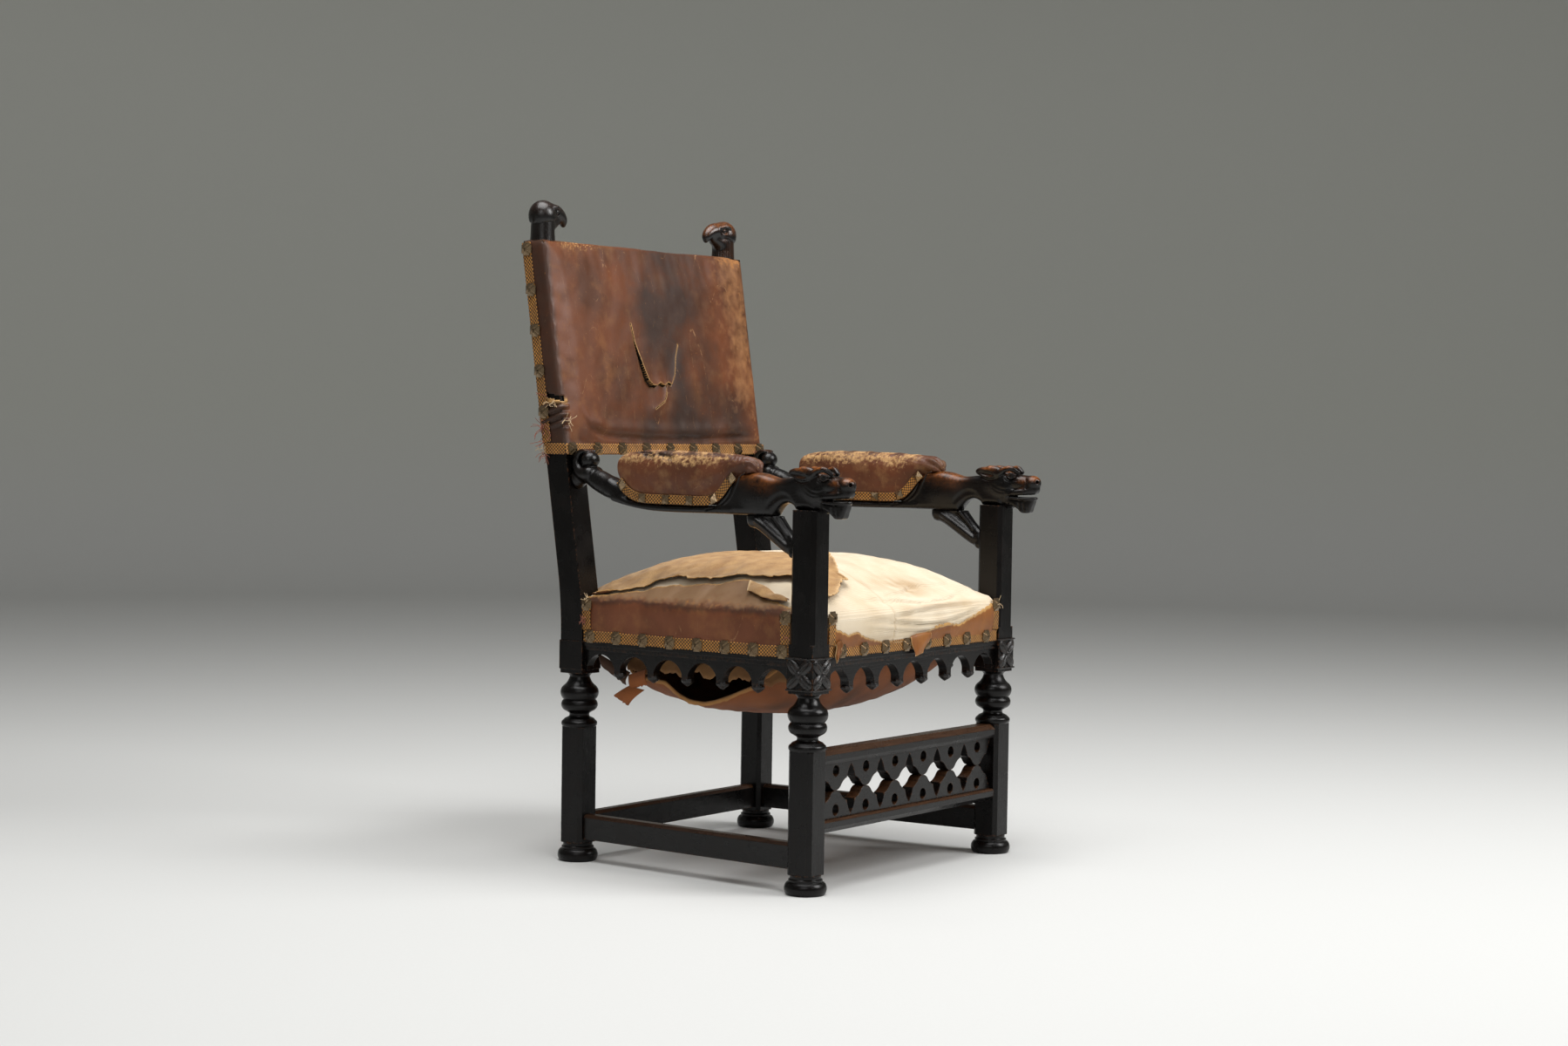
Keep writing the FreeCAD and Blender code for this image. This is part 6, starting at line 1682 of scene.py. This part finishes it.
def make_arm_braid():
    """Braid along both faces of each pad, following the trough, with its square nails."""
    places = []
    line = curve(PAD_BRAID, 8)
    spans = lengths_along(line)
    for name, side in SIDES.items():
        runs = []
        for face in SIDES.values():
            offset = face * 21.6
            flat = np.column_stack([line[:, 0], np.full(len(line), offset), line[:, 1]])
            placed = from_arm(flat, side) / MM
            out = from_arm(np.array([[0, face, 0], [0, 0, 0]], float), side) / MM
            outward = out[0] - out[1]
            runs.append((placed if face * side < 0 else placed[::-1], [outward] * len(line), 15.0))
            for place in np.linspace(9, spans[-1] - 7, 6):
                u, z = (np.interp(place, spans, line[:, k]) for k in (0, 1))
                next_u, next_z = (np.interp(place + 1, spans, line[:, k]) for k in (0, 1))
                stand = offset + face * 1.3
                nail = from_arm(np.array([[u, stand, z], [u - next_z + z, stand, z + next_u - u]]), side) / MM
                places.append((nail[0], outward, nail[1] - nail[0]))
        settle(ribbon(f"arm_gimp_{name}", runs), "braid", f"arm_braid_{name}")
    make_nails("arm_nails", places, "arm_studs")


# Dust cover: waxed cloth under the seat, torn loose along the left

DUST_HALF, DUST_FRONT, DUST_BACK = 235.0, -245.0, 209.0
DUST_TOP = 367.0
DUST_DROP = 112.0
# Hem torn loose along the left, as (depth, hang below the rail)
LOOSE_HEM = [(-205, 0), (-180, 14), (-150, 34), (-120, 54), (-70, 74), (-40, 84), (-20, 88), (10, 86),
             (35, 78), (64, 60), (98, 56), (125, 54), (140, 46), (160, 20), (175, 0)]
# Torn pieces that hang from the hem, as four corners in mm and how dirty they are
RAGS = (
    ("dust_rag_flap", ((-248, 122, 298), (-246, 91, 293), (-253, 119, 266), (-256, 148, 281)), 0.0),
    ("dust_rag_neck", ((-247, 124, 316), (-244, 88, 328), (-245, 85, 303), (-248, 119, 293)), 0.0),
    ("dust_rag_scrap", ((-250, 186, 348), (-247, 120, 320), (-248, 128, 299), (-251, 178, 327)), 0.9),
)


def make_dust_cover():
    """The sagging cloth under the seat, loose along the left, with its hem and rags."""
    across = np.linspace(-1, 1, 70)
    deep = np.linspace(-1, 1, 70)
    middle, half = (DUST_FRONT + DUST_BACK) / 2, (DUST_BACK - DUST_FRONT) / 2
    rows = []
    for t in deep:
        y = middle + half * t
        wide = DUST_HALF - (y - DUST_FRONT) * math.tan(SPLAY)
        x = wide * across
        sag = DUST_DROP * (1 - np.abs(across) ** 3) ** 0.7 * (1 - abs(t) ** 3) ** 0.7
        hang = np.interp(y, *zip(*LOOSE_HEM))
        loose = hang * (1 - sag / DUST_DROP) * np.clip((0.2 - across) / 0.6, 0, 1)
        plan = np.column_stack([x, np.full_like(x, y)])
        ripple = 3.0 * smooth_noise(plan, 120, 70) + 1.2 * smooth_noise(plan, 40, 71)
        z = DUST_TOP - sag - loose + ripple * np.clip((1 - np.abs(across)) * 4, 0, 1) * (1 - t * t)
        x = x - 6 * hang / 83 * np.exp(-(across + 1) / 0.10)
        rows.append(np.column_stack([x, np.full_like(x, y), z]))
    cover = cloth_grid("dust_cloth", rows)
    points = read_points(cover)
    mark(cover, "stain", np.clip(0.5 * smooth_noise(points, 80, 72), 0, 0.6))
    paint(cover, finish["dust_cloth"])
    thicken(cover, 1.0)
    settle(cover, "base_cloth", "dust_cover")
    make_dust_rags(np.array([row[0] for row in rows]))


def make_dust_rags(edge):
    """The pale turned hem along the loose edge, the remnant along the rail in the paler hem cloth as painted
    light, and the torn pieces that hang from the hem.
    """
    hung = edge[np.interp(edge[:, 1], *zip(*LOOSE_HEM)) > 8]
    jag = 1.2 * smooth_noise(hung[:, 1:2], 12, 73)
    low = np.column_stack([hung[:, 0] - 1.8, hung[:, 1], hung[:, 2] - 6 - jag])
    rows = [hung + (2.0, 0, -4), hung + (-0.4, 0, 1.6), hung + (-1.8, 0, -1), low]
    pieces = [("dust_hem", np.array(rows), 0.0, "hem_cloth")]
    y = np.linspace(150, -190, 120)
    x = -(DUST_HALF - (y - DUST_FRONT) * math.tan(SPLAY)) - 1
    ragged = 3.5 * smooth_noise(y[:, None], 70, 75) + 1.5 * smooth_noise(y[:, None], 11, 76)
    rows = [np.column_stack([x, y, DUST_TOP - share * (46 + 1.6 * ragged)]) - (4 * share * share, 0, 0)
            for share in np.linspace(0, 1, 8)]
    # The remnant takes the paler hem cloth as painted light, brighter than the apron's shade would leave it.
    pieces.append(("dust_remnant", np.array(rows), 0.45, "hem_cloth"))
    shares = np.linspace(0, 1, 16)
    for name, corners, dirt in RAGS:
        first, second, third, fourth = np.array(corners, float)
        t, s = shares[:, None, None], shares[None, :, None]
        sheet = (1 - t) * ((1 - s) * first + s * second) + t * ((1 - s) * fourth + s * third)
        along = (fourth + third - first - second) / 2
        tatter = smooth_noise(shares[:, None] * 60, 9, 74)
        sheet += (t ** 6) * (along / np.linalg.norm(along)) * 2.2 * tatter[None, :, None]
        sheet[:, :, 0] -= 4 * np.sin(np.pi * shares)[:, None] * (0.5 + shares[None, :])
        pieces.append((name, sheet, dirt, "dust_cloth"))
    for name, sheet, dirt, material in pieces:
        rag = cloth_grid(name, sheet)
        mark(rag, "stain", np.full(len(rag.data.vertices), dirt))
        paint(rag, finish[material])
        thicken(rag, 0.9)
        settle(rag, "base_cloth")


# Loose threads at the torn corners

def make_threads(name, material, starts, seed):
    """Frayed ends: (place, direction, count, length) in mm; each end wanders and droops."""
    draw = np.random.default_rng(seed)
    line = bpy.data.curves.new(name, "CURVE")
    line.dimensions = "3D"
    line.bevel_depth = 0.45 * MM
    line.bevel_resolution = 1
    for place, aim, count, length in starts:
        for _ in range(count):
            point = np.array(place) + draw.normal(0, 2.2, 3)
            step = np.array(aim) + draw.normal(0, 0.7, 3)
            knots = [point.copy()]
            for _ in range(5):
                step = step / np.linalg.norm(step) + draw.normal(0, 0.5, 3) + np.array([0, 0, -0.18])
                point = point + step / np.linalg.norm(step) * length * draw.uniform(0.12, 0.26)
                knots.append(point.copy())
            spline = line.splines.new("NURBS")
            spline.points.add(len(knots) - 1)
            for target, knot in zip(spline.points, knots):
                target.co = (*(knot * MM), 1)
            spline.order_u = 3
            spline.use_endpoint_u = True
    curve_piece = bpy.data.objects.new(name, line)
    bpy.context.collection.objects.link(curve_piece)
    mesh = bpy.data.meshes.new_from_object(curve_piece.evaluated_get(bpy.context.evaluated_depsgraph_get()))
    bpy.data.objects.remove(curve_piece)
    piece = bpy.data.objects.new(name, mesh)
    bpy.context.collection.objects.link(piece)
    paint(piece, finish[material])
    return settle(piece, "braid")


def make_frays():
    """Red and pale thread ends at the worn corners of the back and the seat."""
    rear = BACK_HALF + 1
    make_threads("red_frays", "red_thread", [
        ((-rear, 286, 724), (-0.6, 0.5, -0.6), 20, 26), ((-rear, 284, 700), (-0.4, 0.6, -0.8), 10, 22),
        ((-rear, 290, 776), (-0.5, 0.8, 0.2), 8, 14), ((-rear + 2, 282, 680), (-0.5, 0.3, -0.9), 12, 22),
        ((250, 236, 682), (0.2, -0.8, -0.6), 8, 12), ((-276, 196, 405), (-0.8, 0.2, -0.4), 14, 12),
        ((-296, -232, 400), (-0.8, -0.3, 0.2), 5, 9),
    ], 80)
    make_threads("pale_frays", "pale_thread", [
        ((-rear, 270, 762), (-0.7, -0.4, 0.2), 12, 18), ((-272, 240, 735), (-0.3, -0.8, -0.3), 8, 16),
        ((254, -282, 432), (0.6, -0.6, 0.4), 8, 16), ((-277, 190, 441), (-0.5, 0.2, 0.6), 8, 12),
        ((-292, -238, 442), (-0.5, -0.3, 0.4), 6, 9), ((-rear, 284, 690), (-0.5, 0.5, -0.5), 6, 18),
    ], 81)


def finish_scene():
    """Sets plain colours."""
    bpy.context.scene.view_settings.view_transform = "Standard"


make_camera()
paint_frame()
make_studio()
make_arms()
make_finials()
make_seat()
make_back_leather()
make_back_wadding()
make_rear_cover()
make_arm_pads()
make_seat_braid()
make_back_braid()
make_arm_braid()
make_seat_nails()
make_back_nails()
make_ornament()
make_dust_cover()
make_frays()
finish_scene()
